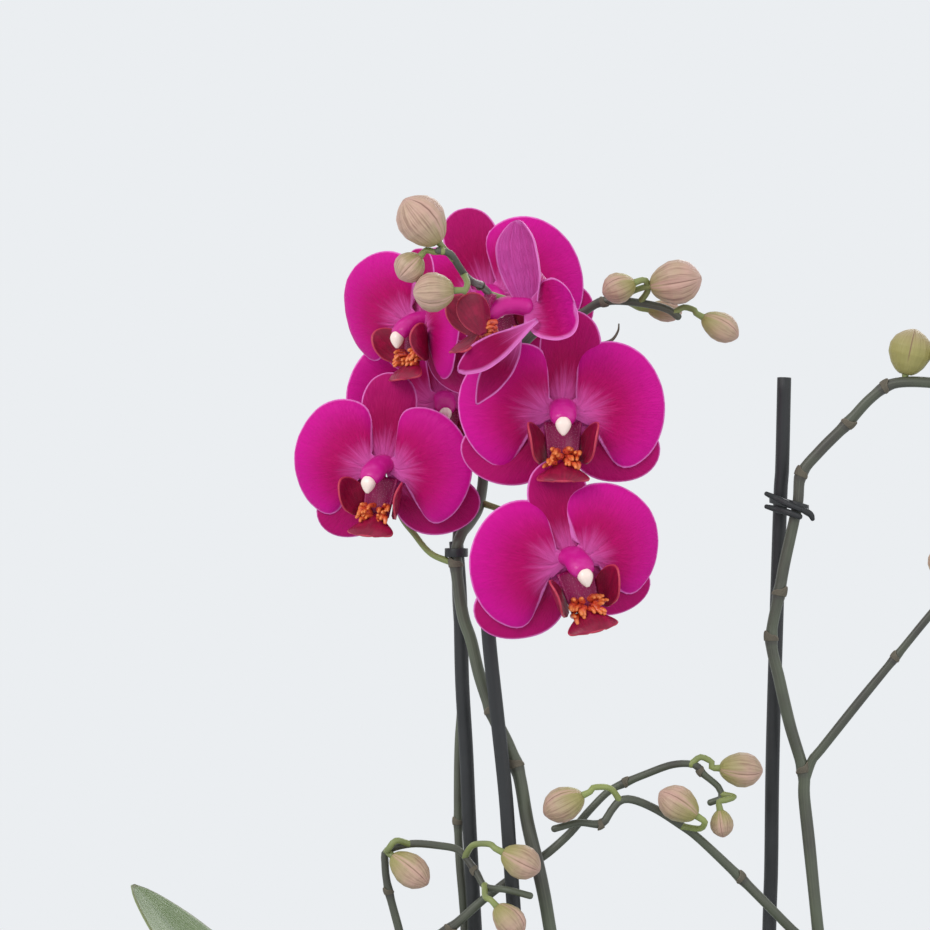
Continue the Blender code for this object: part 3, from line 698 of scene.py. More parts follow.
def add_tube(form: Form, route: np.ndarray, radii: np.ndarray, sides: int = 14, rim: Any = 99.0,
             back: float = 0.0, tone: float = 0.0, flat: float = 1.0, dome: float = 0.9,
             reach: np.ndarray | None = None) -> None:
    """Adds a closed tube with rounded ends along a route.

    Args:
        form: the form that takes it.
        route: its middle line.
        radii: its radius at each point of the route.
        sides: the number of points around it.
        rim: the value of that name, at each point of the route.
        back: the value of that name.
        tone: a number that sets this tube's pattern apart.
        flat: its thickness as a share of its width.
        dome: how far its ends bulge, as a share of its radius.
        reach: the value of that name at each point of the route, in place of the length in decimetres.
    """
    rim = np.broadcast_to(np.asarray(rim, float), (len(route),))
    ahead = unit(np.gradient(route, axis=0))
    ends = []
    for place, direction, radius, end in ((route[0], -ahead[0], radii[0], rim[0]),
                                          (route[-1], ahead[-1], radii[-1], rim[-1])):
        for angle in (70, 45, 20):
            ends.append((place + direction * radius * sin(radians(angle)) * dome,
                         radius * cos(radians(angle)) ** min(1.0, dome * 0.6 + 0.46), end))
    first, last = ends[:3], ends[3:][::-1]
    places = np.vstack([[e[0] for e in first], route, [e[0] for e in last]])
    widths = np.concatenate([[e[1] for e in first], radii, [e[1] for e in last]])
    marks = np.concatenate([[e[2] for e in first], rim, [e[2] for e in last]])
    along = np.concatenate([[0.0], np.cumsum(np.linalg.norm(np.diff(places, axis=0), axis=1))])
    directions = np.vstack([[ahead[0]] * 3, ahead, [ahead[-1]] * 3])
    guide = np.array([0.0, -1.0, 0.0]) if abs(directions[0][1]) < 0.9 else np.array([1.0, 0.0, 0.0])
    rings = []
    for place, direction, width in zip(places, directions, widths):
        guide = unit(guide - direction * (guide @ direction))
        upright = np.cross(direction, guide)
        turn = np.linspace(0, 2 * pi, sides, endpoint=False)[:, None]
        rings.append(place + (guide * np.cos(turn) * flat + upright * np.sin(turn)) * width)
    rows = len(places)
    shares = along / 100 if reach is None else np.concatenate([[0.0] * 3, reach, [1.0] * 3])
    form.add(np.vstack(rings), capped(rows, sides), reach=np.repeat(shares, sides), rim=np.repeat(marks, sides),
             across=np.tile(1 - np.abs(np.linspace(-2, 2, sides, endpoint=False)), rows), back=back, tone=tone)


def add_ball(form: Form, place: Matrix, shape: Any, rows: int = 18, columns: int = 24, **values: Any) -> None:
    """Adds a closed round body.

    Args:
        form: the form that takes it.
        place: its frame, with the body's length along z.
        shape: a function of the share along it and the angle around it, to a radius and a height.
        rows: the number of rings.
        columns: the number of points around it.
        values: per-point values, as for Form.add; reach and across are its own.
    """
    share = np.linspace(0.0, 1.0, rows)[:, None]
    angle = np.linspace(-pi, pi, columns, endpoint=False)[None, :]
    radius, height = shape(share, angle)
    local = np.stack([radius * np.cos(angle), radius * np.sin(angle), height + 0 * angle], axis=-1)
    turn = np.array(place.to_3x3())
    points = local.reshape(-1, 3) @ turn.T + np.array(place.translation)
    form.add(points, capped(rows, columns), reach=np.repeat(share[:, 0], columns),
             across=np.tile(1 - 2 * np.abs(angle[0]) / pi, rows), **values)


# Flowers


class Blade(Enum):
    """Outlines of a flower's right-hand blades, as (right, up) from the base's lower side to its upper."""

    PETAL = ((14.5, -11), (17.8, -16.8), (20.6, -21.6), (24.8, -24), (30, -22.6), (36.3, -17.2),
             (40.6, -9.2), (42.3, 0), (41, 9.4), (36, 18.4), (28.6, 24.6), (19.4, 27.2), (10.6, 25.6),
             (6.6, 20.6), (5.8, 13), (5.4, 7))
    SEPAL_SIDE = ((1.6, -12), (3.2, -19), (7.4, -26), (14, -30.2), (22, -31.4), (30, -30.2),
                  (36.6, -26.8), (40.8, -21.4), (41.6, -15), (38, -9), (30, -4.6), (19, -2.6), (10, -1.4))
    SEPAL_TOP = ((8, 6), (10.2, 12), (12.2, 21), (12.4, 29.6), (9.4, 36.4), (4.4, 39.8), (0, 40.4),
                 (-4.4, 39.8), (-9.4, 36.4), (-12.4, 29.6), (-12.2, 21), (-10.2, 12), (-8, 6))


BASES = {
    Blade.PETAL: (((2.0, -2.2), (2.0, 2.2)), ((11.2, -7.4), (5.4, 4.6))),
    Blade.SEPAL_SIDE: (((0.6, -3.4), (2.2, -0.8)), ((1.4, -7.0), (6.0, -1.2))),
    Blade.SEPAL_TOP: (((2.4, 0.8), (-2.4, 0.8)), ((6.0, 2.6), (-6.0, 2.6))),
}


@dataclass(frozen=True)
class Hold:
    """How a blade departs from its usual place: its size, its turn about the flower's axis and about
    an upright line, and a move of its outer part."""

    size: float = 1.0
    lean: float = 0.0
    swing: float = 0.0
    shift: tuple[float, float] = (0.0, 0.0)

    def placed(self, plan: np.ndarray, depth: np.ndarray, reach: np.ndarray) -> np.ndarray:
        """Points in the flower's axes from the blade's flat points and their depths."""
        grown_size = 1 + (self.size - 1) * np.clip(reach / 0.3, 0, 1)[..., None]
        x, z = np.moveaxis(plan * grown_size + np.array(self.shift) * reach[..., None] ** 0.7, -1, 0)
        c, s = cos(radians(self.lean)), sin(radians(self.lean))
        x, z = x * c + z * s, -x * s + z * c
        forward = radians(self.swing)
        return np.stack([x * cos(forward), depth - np.abs(x) * sin(forward), z], axis=-1)


@dataclass(frozen=True)
class Relief:
    """How a blade departs from a flat sheet."""

    level: float
    sweep: float
    crown: float
    curl: float
    ripple: float
    crease: float

    def depth(self, plan: np.ndarray, reach: np.ndarray, across: np.ndarray, rim: np.ndarray,
              phase: float) -> np.ndarray:
        """How far back each point of the blade lies."""
        far = np.linalg.norm(plan, axis=-1) / 42
        near_rim = np.exp(-rim / 4.5)
        waves = np.sin(across * 7.3 + phase) * 0.6 + np.sin(across * 12.1 + 2.1 * phase) * 0.4
        return (self.level + self.sweep * far ** 2 - self.crown * np.sin(np.clip(reach, 0, 1) * pi)
                * (1 - across ** 2 * 0.6) + self.curl * near_rim * reach
                + self.ripple * waves * reach ** 2.5
                + self.crease * np.exp(-(across / 0.09) ** 2) * (1 - reach * 0.7))


def smooth_outline(blade: Blade, columns: int) -> np.ndarray:
    """A blade's outline as evenly spaced points on a smooth curve."""
    return even(curve(blade.value, 0.8), columns)


def fan(blade: Blade, rows: int, columns: int) -> tuple[np.ndarray, np.ndarray, np.ndarray, np.ndarray]:
    """Spreads a grid over a blade: along it from its base, and across it from edge to edge.

    Args:
        blade: the blade's outline.
        rows: the number of points along it.
        columns: the number of points across it.

    Returns:
        The flat points, and each one's reach, place across from -1 to 1 and distance from the rim.
    """
    edge = smooth_outline(blade, columns)
    share = np.linspace(0.0, 1.0, columns)[:, None]
    (hub_low, hub_high), (low, high) = [np.array(pair, float) for pair in BASES[blade]]
    hub = hub_low + (hub_high - hub_low) * share
    base = low + (high - low) * share
    claw_rows = 4
    blade_rows = rows - claw_rows
    out = np.linspace(0.0, 1.0, blade_rows) ** 0.9
    layers = [hub + (base - hub) * (i / claw_rows) for i in range(claw_rows)]
    layers += [base + (edge - base) * t for t in out]
    plan = np.stack(layers)
    reach = np.concatenate([np.linspace(0, 0.12, claw_rows, endpoint=False), 0.12 + 0.88 * out])
    border = np.vstack([layer[0] for layer in layers[claw_rows:]] + [even(edge, 160)]
                       + [layer[-1] for layer in layers[claw_rows:]])
    gaps = np.linalg.norm(plan[:, :, None, :] - border[None, None, :, :], axis=-1)
    rim = gaps.min(axis=2)
    across = np.broadcast_to(share[:, 0] * 2 - 1, plan.shape[:2])
    return plan, np.broadcast_to(reach[:, None], plan.shape[:2]), across, rim


@dataclass(frozen=True)
class Lip:
    """The column with its cap, and the lip with its side lobes, callus and front lobe."""

    turn: float = 0.0
    forward: float = 0.0
    column: float = 15.0
    lean: float = 0.0
    lift: float = 0.0
    spread: float = 1.1
    callus_back: float = 0.0

    def frame(self, flower: Matrix) -> Matrix:
        """The lip's frame in its flower's."""
        return flower @ Matrix.Rotation(radians(self.lean), 4, "Y") @ Matrix.Rotation(radians(self.turn), 4, "Z")

    def low_frame(self, flower: Matrix) -> Matrix:
        """The frame of its lobes, below the column."""
        place = self.frame(flower) @ Matrix.Translation((0, -self.forward, self.lift - 1))
        return place @ Matrix.Scale(self.spread, 4, (1, 0, 0))

    def build_column(self, form: Form, tone: float) -> None:
        """Adds the column, widest at its foot and rounded at its end."""
        way = curve([(0, 1.5, 0), (0, -3, 0.4), (0, -self.column * 0.55, -0.6),
                     (0, -self.column + 1.5, -3.6)], 0.8)
        share = np.linspace(0, 1, len(way))
        radii = 4.3 - 1.0 * share + 0.5 * np.exp(-((share - 0.85) / 0.2) ** 2)
        add_tube(form, way, radii, sides=22, tone=tone, flat=1.4)

    def build_cap(self, form: Form, flower: Matrix) -> None:
        """Adds the anther cap: a rounded wedge that hangs from the column's end."""
        frame = self.frame(flower) @ Matrix.Translation((0, -self.column, -2.6))
        frame = frame @ Matrix.Rotation(radians(168), 4, "X")

        def shape(share: np.ndarray, angle: np.ndarray) -> tuple[np.ndarray, np.ndarray]:
            """Radius and height: broad above and narrow below, with a groove in front."""
            body = np.sin(np.clip(share, 0.02, 0.98) * pi) ** 0.42
            width = 3.3 - 1.3 * np.clip((share - 0.4) / 0.6, 0, 1) ** 1.3
            groove = 1 - 0.12 * np.exp(-((np.abs(angle) - pi / 2) / 0.35) ** 2)
            return body * width * groove, share * 8.0

        add_ball(form, frame, shape, tone=0.0)

    def build_lobes(self, form: Form, tone: float) -> None:
        """Adds the side lobes, the front lobe and the dotted saddle between them."""
        outline = even(curve([(9, -20.6), (14, -17.6), (17.4, -12.6), (17, -7.6), (12.8, -4.4), (7, -4.6),
                              (2.8, -8), (1, -13), (1.8, -18)], 0.6), 34)
        share = np.linspace(0, 1, 34)[:, None]
        base = np.array([6.6, -21.4]) + (np.array([3.4, -20.4]) - np.array([6.6, -21.4])) * share
        steps = np.linspace(0, 1, 16)
        plan = np.stack([base + (outline - base) * t for t in steps])
        reach, across = steps[:, None], share[:, 0] * 2 - 1
        gaps = np.linalg.norm(plan[:, :, None, :] - outline[None, None, :, :], axis=-1).min(axis=2)
        for side in (-1, 1):
            along, up = plan[..., 0], plan[..., 1]
            cup = 2.4 * ((along - 8) / 9) ** 2 - 1.2
            flare = 0.42 * along + 0.16 * (up + 14) - cup
            middle = np.stack([side * (5.6 + flare), -1.6 - along * 0.9, up], axis=-1)
            add_sheet(form, middle, (-side, -0.4, 0), 0.3 + 0.5 * np.minimum(gaps / 3, 1), gaps,
                      0.25 + 0.75 * reach, across, tone + side)
        self.build_front(form, tone)

    def build_front(self, form: Form, tone: float) -> None:
        """Adds the front lobe, an arched spade, and the saddle behind it."""
        out = np.linspace(0, 1, 24)
        widths = np.interp(out, (0, 0.1, 0.25, 0.42, 0.6, 0.76, 0.9, 1),
                           (3.6, 4.0, 6.8, 9.2, 10.0, 9.0, 6.4, 3.0))
        widths = np.convolve(np.pad(widths, 2, "edge"), [0.15, 0.2, 0.3, 0.2, 0.15], "valid")
        across = np.linspace(-1, 1, 21)
        x = across[None, :] * widths[:, None]
        forward = 6.5 + 11.5 * out[:, None] - 1.5 * (across ** 2)[None, :] * out[:, None]
        drop = -21.2 - 7.0 * out[:, None] ** 1.15 - 2.6 * (across ** 2)[None, :] * np.sin(out * pi)[:, None]
        drop = drop + 0.9 * np.exp(-(across / 0.12) ** 2)[None, :] * (1 - out[:, None])
        middle = np.stack([x, -forward, drop], axis=-1)
        rim = border(out, across, widths, 14)
        add_sheet(form, middle, (0, -0.5, 1), 0.35 + 0.7 * np.minimum(rim / 4, 1), rim,
                  0.35 + 0.65 * out[:, None], across, tone)
        rows = np.linspace(0, 1, 12)
        x = across[None, :] * (6.8 - 1.4 * rows[:, None])
        back = 2.0 + 5.5 * rows[:, None] - 3.0 * (1 - across ** 2)[None, :]
        height = -4.5 - 16.5 * rows[:, None] + 0 * x
        middle = np.stack([x, -back, height], axis=-1)
        add_sheet(form, middle, (0, -1, 0), 0.5, 9.0, 0.05, across, tone + 3)

    def build_callus(self, form: Form, tone: float) -> None:
        """Adds the callus: two tufts of blunt teeth on a low saddle."""
        rng = np.random.default_rng(int(tone * 100) + 5)
        for side in (-1, 1):
            for number in range(12):
                lift = number / 11
                foot = np.array([side * rng.uniform(0.8, 5.8), -6.6 - rng.uniform(0, 2.5), -22 + 6.0 * lift])
                way = np.array([side * rng.uniform(0.2, 2.2), -rng.uniform(2.8, 4.8), rng.uniform(-2.4, 2.0)])
                tip = foot + way
                bend = (foot + tip) / 2 + np.array([side * 0.4, -0.5, 0.6])
                route = curve([foot, bend, tip], 0.7)
                steps = np.linspace(0, 1, len(route))
                add_tube(form, route, (1.35 - 0.75 * steps) * rng.uniform(0.85, 1.2), sides=9, reach=steps)


@dataclass(frozen=True)
class Flower:
    """An open flower, seen from its face when it isn't turned."""

    name: str
    middle: Point
    turn: float
    nod: float
    lean: float
    size: float
    lip: Lip = Lip()
    seed: float = 0.0
    top: Hold = Hold()
    sepal_holds: tuple[Hold, Hold] = (Hold(), Hold())
    petal_holds: tuple[Hold, Hold] = (Hold(), Hold())
    petals: Relief = Relief(level=-0.8, sweep=2.2, crown=1.8, curl=1.7, ripple=0.8, crease=0.7)
    sepals: Relief = Relief(level=1.4, sweep=3.4, crown=1.0, curl=-0.8, ripple=0.5, crease=0.5)

    def frame(self) -> Matrix:
        """The flower's own axes at its middle."""
        own = Euler((radians(self.nod), radians(self.lean), 0)).to_matrix()
        turned = Euler((0, 0, radians(self.turn))).to_matrix() @ own
        return Matrix.Translation(grown(self.middle).tolist()) @ turned.to_4x4() @ Matrix.Scale(self.size, 4)

    def add_blade(self, form: Form, blade: Blade, side: int, relief: Relief, rows: int, columns: int,
                  hold: Hold) -> None:
        """Adds one petal or sepal.

        Args:
            form: the form that takes it.
            blade: its outline.
            side: 1 for the right-hand one, -1 for its mirror image.
            relief: its departure from a flat sheet.
            rows: the number of points along it.
            columns: the number of points across it.
            hold: how it departs from its usual place.
        """
        plan, reach, across, rim = fan(blade, rows, columns)
        phase = self.seed * 1.7 + side * 0.9 + len(blade.name)
        depth = relief.depth(plan, reach, across, rim, phase)
        plan = plan * np.array([side, 1.0])
        wobble = 1 + 0.012 * np.sin(across * 6.0 + phase * 1.9)[..., None] * reach[..., None]
        middle = hold.placed(plan * wobble, depth, reach)
        half = 0.14 + 0.42 * np.clip(rim / 2.5, 0, 1) + 0.25 * np.exp(-(across / 0.12) ** 2) * (1 - reach)
        add_sheet(form, middle, (0, -1, 0), half, rim, reach, across, self.seed + side * 0.37)

    def build_tepals(self, petal: bpy.types.Material, sepal: bpy.types.Material) -> None:
        """Makes the sepals, then the petals in front of them."""
        behind = Form(self.frame())
        self.add_blade(behind, Blade.SEPAL_TOP, 1, self.sepals, 34, 41, self.top)
        for side, hold in zip((-1, 1), self.sepal_holds):
            self.add_blade(behind, Blade.SEPAL_SIDE, side, self.sepals, 34, 41, hold)
        behind.make(f"{self.name}.sepals", sepal, "sepal", f"{self.name}_sepals")
        front = Form(self.frame())
        for side, hold in zip((-1, 1), self.petal_holds):
            self.add_blade(front, Blade.PETAL, side, self.petals, 40, 49, hold)
        front.make(f"{self.name}.petals", petal, "petal", f"{self.name}_petals")

    def build_lip(self, finishes: dict[str, bpy.types.Material]) -> None:
        """Makes the column, its cap, the lip's lobes and the callus."""
        frame = self.frame()
        low = self.lip.low_frame(frame)
        column, cap, lobes = Form(self.lip.frame(frame)), Form(), Form(low)
        callus = Form(low @ Matrix.Translation((0, self.lip.callus_back, 0)))
        self.lip.build_column(column, self.seed)
        self.lip.build_cap(cap, frame)
        self.lip.build_lobes(lobes, self.seed)
        self.lip.build_callus(callus, self.seed)
        lobes.make(f"{self.name}.lip", finishes["lip"], "lip", f"{self.name}_lip")
        column.make(f"{self.name}.column", finishes["column"], "lip")
        cap.make(f"{self.name}.cap", finishes["cap"], "lip")
        callus.make(f"{self.name}.callus", finishes["callus"], "lip")

    def build(self, finishes: dict[str, bpy.types.Material]) -> None:
        """Makes the whole flower."""
        self.build_tepals(finishes["petal"], finishes["sepal"])
        self.build_lip(finishes)


@dataclass(frozen=True)
class Strap:
    """A long blade along a line, given as (right, forward, up) from the flower's middle."""

    spine: tuple[Point, ...]
    widths: tuple[float, ...]
    cup: float
    roll: float = 0.0
    shows_back: bool = False
    band: float = 1.0
    hand: int = 1

    def add(self, form: Form, middle: np.ndarray, tone: float) -> None:
        """Adds the blade to a form, with its front towards the viewer unless it shows its back."""
        route = even(curve(self.spine, 1.0), 40)
        out = np.linspace(0, 1, 40)
        places = np.linspace(0, 1, len(self.widths))
        widths = np.interp(out, places, self.widths)
        widths = np.convolve(np.pad(widths, 3, "edge"), np.full(7, 1 / 7), "valid")
        widths = widths * np.sqrt(np.clip(1.02 - out ** 10, 0.01, 1))
        ahead = unit(np.gradient(route, axis=0))
        side = unit(np.cross(ahead, np.array([0.0, 1.0, 0.0]))) * self.hand
        across = np.linspace(-1, 1, 31)
        flat = across[None, :] * widths[:, None]
        rise = self.cup * across[None, :] ** 2 * widths[:, None]
        turn = np.clip((across - 0.45) / 0.55, 0, 1)[None, :] * self.roll
        bent = (across[None, :] > 0.45) * (across[None, :] - 0.45) * widths[:, None]
        flat = np.where(turn > 0, 0.45 * widths[:, None] + bent * np.sinc(turn / pi), flat)
        rise = rise + bent * np.sin(turn / 2) ** 2 * 1.6
        points = route[:, None, :] + side[:, None, :] * flat[..., None]
        points[..., 1] += rise
        ripple = 0.5 * np.sin(out[:, None] * 15 + across[None, :] * 2) * np.abs(across[None, :]) ** 3
        points[..., 1] += ripple
        grid = points * np.array([1.0, -1.0, 1.0]) + middle
        rim = border(out, across, widths, 30)
        facing = (0, 1, 0) if self.shows_back else (0, -1, 0)
        half = 0.14 + 0.4 * np.clip(rim / 2.5, 0, 1)
        pale = rim / (1 + (self.band - 1) * np.clip(across * 1.6 + 0.5, 0, 1))
        add_sheet(form, grid, facing, half, pale, out[:, None], across, tone)


@dataclass(frozen=True)
class SideFlower(Flower):
    """A half-open flower seen from its side, with its blades where it holds them."""

    petal_straps: tuple[Strap, ...] = ()
    sepal_straps: tuple[Strap, ...] = ()

    def build_tepals(self, petal: bpy.types.Material, sepal: bpy.types.Material) -> None:
        """Makes its petals and sepals from straps."""
        middle = grown(self.middle)
        for part, straps, finish in (("petals", self.petal_straps, petal), ("sepals", self.sepal_straps, sepal)):
            form = Form()
            for number, strap in enumerate(straps):
                strap.add(form, middle, self.seed + number * 0.61)
            form.make(f"{self.name}.{part}", finish, part[:-1], f"{self.name}_{part}")


# Buds and stems


@dataclass(frozen=True)
class Bud:
    """A closed bud of three sepals that meet along seams."""

    name: str
    base: Point
    tip: Point
    radius: float
    spin: float = 0.0
    tone: float = 0.6

    def build(self, finish: bpy.types.Material) -> None:
        """Makes the bud."""
        base, tip = Vector(grown(self.base)), Vector(grown(self.tip))
        axis = (tip - base).normalized()
        length = (tip - base).length
        spin = Matrix.Rotation(radians(self.spin), 4, "Z")
        place = Matrix.Translation(base) @ axis.to_track_quat("Z", "Y").to_matrix().to_4x4() @ spin
        shares = (0, 0.02, 0.08, 0.2, 0.42, 0.62, 0.8, 0.92, 0.98, 1.0)
        widths = (0.26, 0.4, 0.56, 0.78, 1.0, 1.0, 0.82, 0.5, 0.24, 0.06)

        def seam(angle: np.ndarray) -> np.ndarray:
            """Distance from the nearest seam, as a share of the way to the middle of a sepal."""
            return np.abs((angle / (2 * pi / 3) + 0.5) % 1 - 0.5) * 2

        def shape(share: np.ndarray, angle: np.ndarray) -> tuple[np.ndarray, np.ndarray]:
            """Radius and height: an egg with three faint keels and three grooves."""
            radius = np.interp(share[:, 0], shares, widths)
            radius = np.convolve(np.pad(radius, 1, "edge"), [0.2, 0.6, 0.2], "valid")[:, None] * self.radius
            gap = seam(angle)
            groove = 0.085 * np.exp(-(gap / 0.09) ** 2) * np.clip(share * 2.2, 0.1, 1)
            keel = 0.05 * np.exp(-((1 - gap) / 0.3) ** 2) * np.sin(share * pi)
            ribs = 0.008 * np.cos(angle * 18)
            return radius * (0.99 - groove + keel + ribs), share * length

        form = Form()
        angle = np.linspace(-pi, pi, 72, endpoint=False)
        add_ball(form, place, shape, rows=40, columns=72, rim=np.tile(seam(angle), 40), tone=self.tone)
        form.make(f"{self.name}.shell", finish, "bud", self.name)


@dataclass(frozen=True)
class Stalk:
    """The short stalk of a flower or bud: its way from the stem's middle line."""

    way: tuple[Point, ...]
    end: tuple[Point, ...]

    def build(self, form: Form, tone: float) -> None:
        """Adds the stalk, swollen a little where it joins the stem."""
        points = [grown(point) for point in self.way] + [np.array(point) for point in self.end]
        route = curve(points, 1.5)
        share = np.linspace(0, 1, len(route))
        radii = 1.3 + 0.3 * np.exp(-share * 14) + 0.35 * np.exp(-(1 - share) * 12)
        add_tube(form, route, radii, sides=12, back=1.0, tone=tone)


@dataclass(frozen=True)
class Stem:
    """A flower stem or one of its branches, with joints where it is swollen."""

    way: tuple[Point, ...]
    radii: tuple[float, ...]
    joints: tuple[tuple[float, float], ...] = ()

    def route(self) -> np.ndarray:
        """Its smooth middle line."""
        return curve([grown(point) for point in self.way], 2.0)

    def nearest(self, joint: tuple[float, float]) -> int:
        """The point of the route nearest to a joint, given as (x, height above the bark)."""
        route = self.route()
        return int(np.hypot(route[:, 0] - joint[0], route[:, 2] - BARK_TOP - joint[1]).argmin())

    def build(self, form: Form, dry: Form, tone: float) -> None:
        """Adds the stem to one form and its dry bracts to another."""
        route = self.route()
        along = np.concatenate([[0.0], np.cumsum(np.linalg.norm(np.diff(route, axis=0), axis=1))])
        radii = np.interp(along / along[-1], np.linspace(0, 1, len(self.radii)), self.radii)
        rim = np.full(len(route), 99.0)
        radii = radii * (1 + 0.03 * np.sin(along * 0.11 + tone * 5))
        ahead = unit(np.gradient(route, axis=0))
        for number, joint in enumerate(self.joints):
            at = self.nearest(joint)
            gap = along - along[at]
            radii = radii * (1 + 0.2 * np.exp(-(gap / 2.6) ** 2))
            rim = np.minimum(rim, np.abs(gap + 1.0))
            facing = 1 if (number + int(tone)) % 2 else -1
            self.add_bract(dry, route[at], ahead[at], float(radii[at]), facing, tone + number)
        add_tube(form, route, radii, sides=16, rim=rim, tone=tone)

    def add_bract(self, dry: Form, place: np.ndarray, ahead: np.ndarray, radius: float, facing: int,
                  tone: float) -> None:
        """Adds a dry bract: a low collar round the joint, highest on one side."""
        out = unit(np.cross(ahead, np.array([0.0, 1.0, 0.0]))) * facing
        out = unit(out * 0.8 + np.array([0.0, -0.6, 0.0]) - ahead * (ahead @ np.array([0.0, -0.6, 0.0])))
        side = np.cross(ahead, out)
        rise = np.linspace(0, 1, 14)[:, None]
        across = np.linspace(-1, 1, 19)
        angle = across * (2.7 - 1.3 * rise ** 1.4)
        girth = radius + 0.1 + 0.12 * rise ** 3 + 0.35 * np.exp(-(angle / 0.7) ** 2) * np.sin(rise * pi)
        length = (0.7 + 0.6 * radius) * rise * (1 + 0.8 * np.exp(-(angle / 0.6) ** 2)) - 0.8
        points = (place + ahead * length[..., None]
                  + out * (np.cos(angle) * girth)[..., None] + side * (np.sin(angle) * girth)[..., None])
        rim = np.minimum((1 - np.abs(across)) * 4, (1 - rise) * 8)
        add_sheet(dry, points, out, 0.1, rim, rise, across, tone)


@dataclass(frozen=True)
class Spike:
    """A flower spike: its stem, its branches and the stalks of its flowers and buds."""

    name: str
    azimuth: float
    height: float
    stem: Stem
    branches: tuple[Stem, ...] = ()
    hooks: tuple[tuple[Point, ...], ...] = ()

    def foot(self) -> tuple[Point, ...]:
        """Two places where the stem leaves the crown."""
        places = []
        for reach, lift in ((8.0, -0.5), (14.8, 1.0)):
            angle = radians(self.azimuth)
            places.append((reach * cos(angle), reach * sin(angle), self.height + lift))
        return tuple(places)

    def build(self, stalks: Sequence[Stalk], finish: bpy.types.Material, dry_finish: bpy.types.Material) -> None:
        """Makes the spike and its bracts."""
        form, dry = Form(), Form()
        whole = Stem(self.foot() + self.stem.way, self.stem.radii, self.stem.joints)
        tone = len(self.name) * 0.77
        whole.build(form, dry, tone)
        for number, branch in enumerate(self.branches):
            branch.build(form, dry, tone + number + 1)
        for number, stalk in enumerate(stalks):
            stalk.build(form, tone + number * 0.31)
        for hook in self.hooks:
            route = curve([grown(point) for point in hook], 0.8)
            add_tube(dry, route, np.linspace(0.9, 0.3, len(route)), sides=8)
        form.make(f"{self.name}.stem", finish, "stem", self.name)
        if dry.count:
            dry.make(f"{self.name}.bracts", dry_finish, "stem")


# Leaves, roots, crown, bark and pot


@dataclass(frozen=True)
class Leaf:
    """A long thick leaf that arches out of the crown."""

    name: str
    azimuth: float
    base_height: float
    middle: tuple[float, float]
    tip: tuple[float, float]
    half_width: float
    thickness: float = 2.2
    fold: float = 0.22
    outline: tuple[tuple[float, float], ...] = (
        (0.0, 0.2), (0.08, 0.25), (0.2, 0.5), (0.35, 0.84), (0.5, 1.0), (0.65, 0.98), (0.8, 0.8),
        (0.9, 0.56), (0.96, 0.35), (0.99, 0.18), (1.0, 0.06))
    twist: float = 0.0

    def build(self, finish: bpy.types.Material, tone: float) -> None:
        """Makes the leaf."""
        rows, columns = 72, 25
        out = np.linspace(0, 1, rows)
        outward = np.array([cos(radians(self.azimuth)), sin(radians(self.azimuth)), 0.0])
        side = np.array([-outward[1], outward[0], 0.0])
        start = np.array([8.4, self.base_height])
        flat = (start * (1 - out[:, None]) ** 2 + 2 * np.array(self.middle) * (out * (1 - out))[:, None]
                + np.array(self.tip) * out[:, None] ** 2)
        spine = outward * flat[:, :1] + np.array([0.0, 0.0, 1.0]) * (flat[:, 1:] + BARK_TOP)
        places, shares = np.array(self.outline).T
        knots = curve(np.column_stack([places, shares]), 0.01)
        widths = np.interp(out, knots[:, 0], knots[:, 1]) * self.half_width
        across = np.linspace(-1, 1, columns)
        ahead = unit(np.gradient(spine, axis=0))
        normal = unit(np.cross(ahead, side))
        normal[normal[:, 2] < 0] *= -1
        roll = radians(self.twist) * out[:, None] ** 2
        side, normal = side * np.cos(roll) + normal * np.sin(roll), normal * np.cos(roll) - side * np.sin(roll)
        waves = 0.9 * np.sin(out[:, None] * 9 + tone) * across[None, :] * (0.2 + np.abs(across[None, :]))
        rise = self.fold * np.abs(across[None, :]) ** 1.6 * widths[:, None] + waves * np.sin(out * pi)[:, None]
        points = (spine[:, None, :] + side[:, None, :] * (across[None, :] * widths[:, None])[..., None]
                  + normal[:, None, :] * rise[..., None])
        rim = border(out, across, widths, 120)
        half = self.thickness / 2 * (0.35 + 0.65 * np.clip(rim / 7, 0, 1) ** 0.6)
        half = half * (1 + 0.5 * np.exp(-(across / 0.16) ** 2)[None, :] * (1 - out[:, None]))
        form = Form()
        add_sheet(form, points, (0, 0, 1), half, rim, out[:, None], across, tone)
        form.make(f"{self.name}.blade", finish, "leaf", self.name)


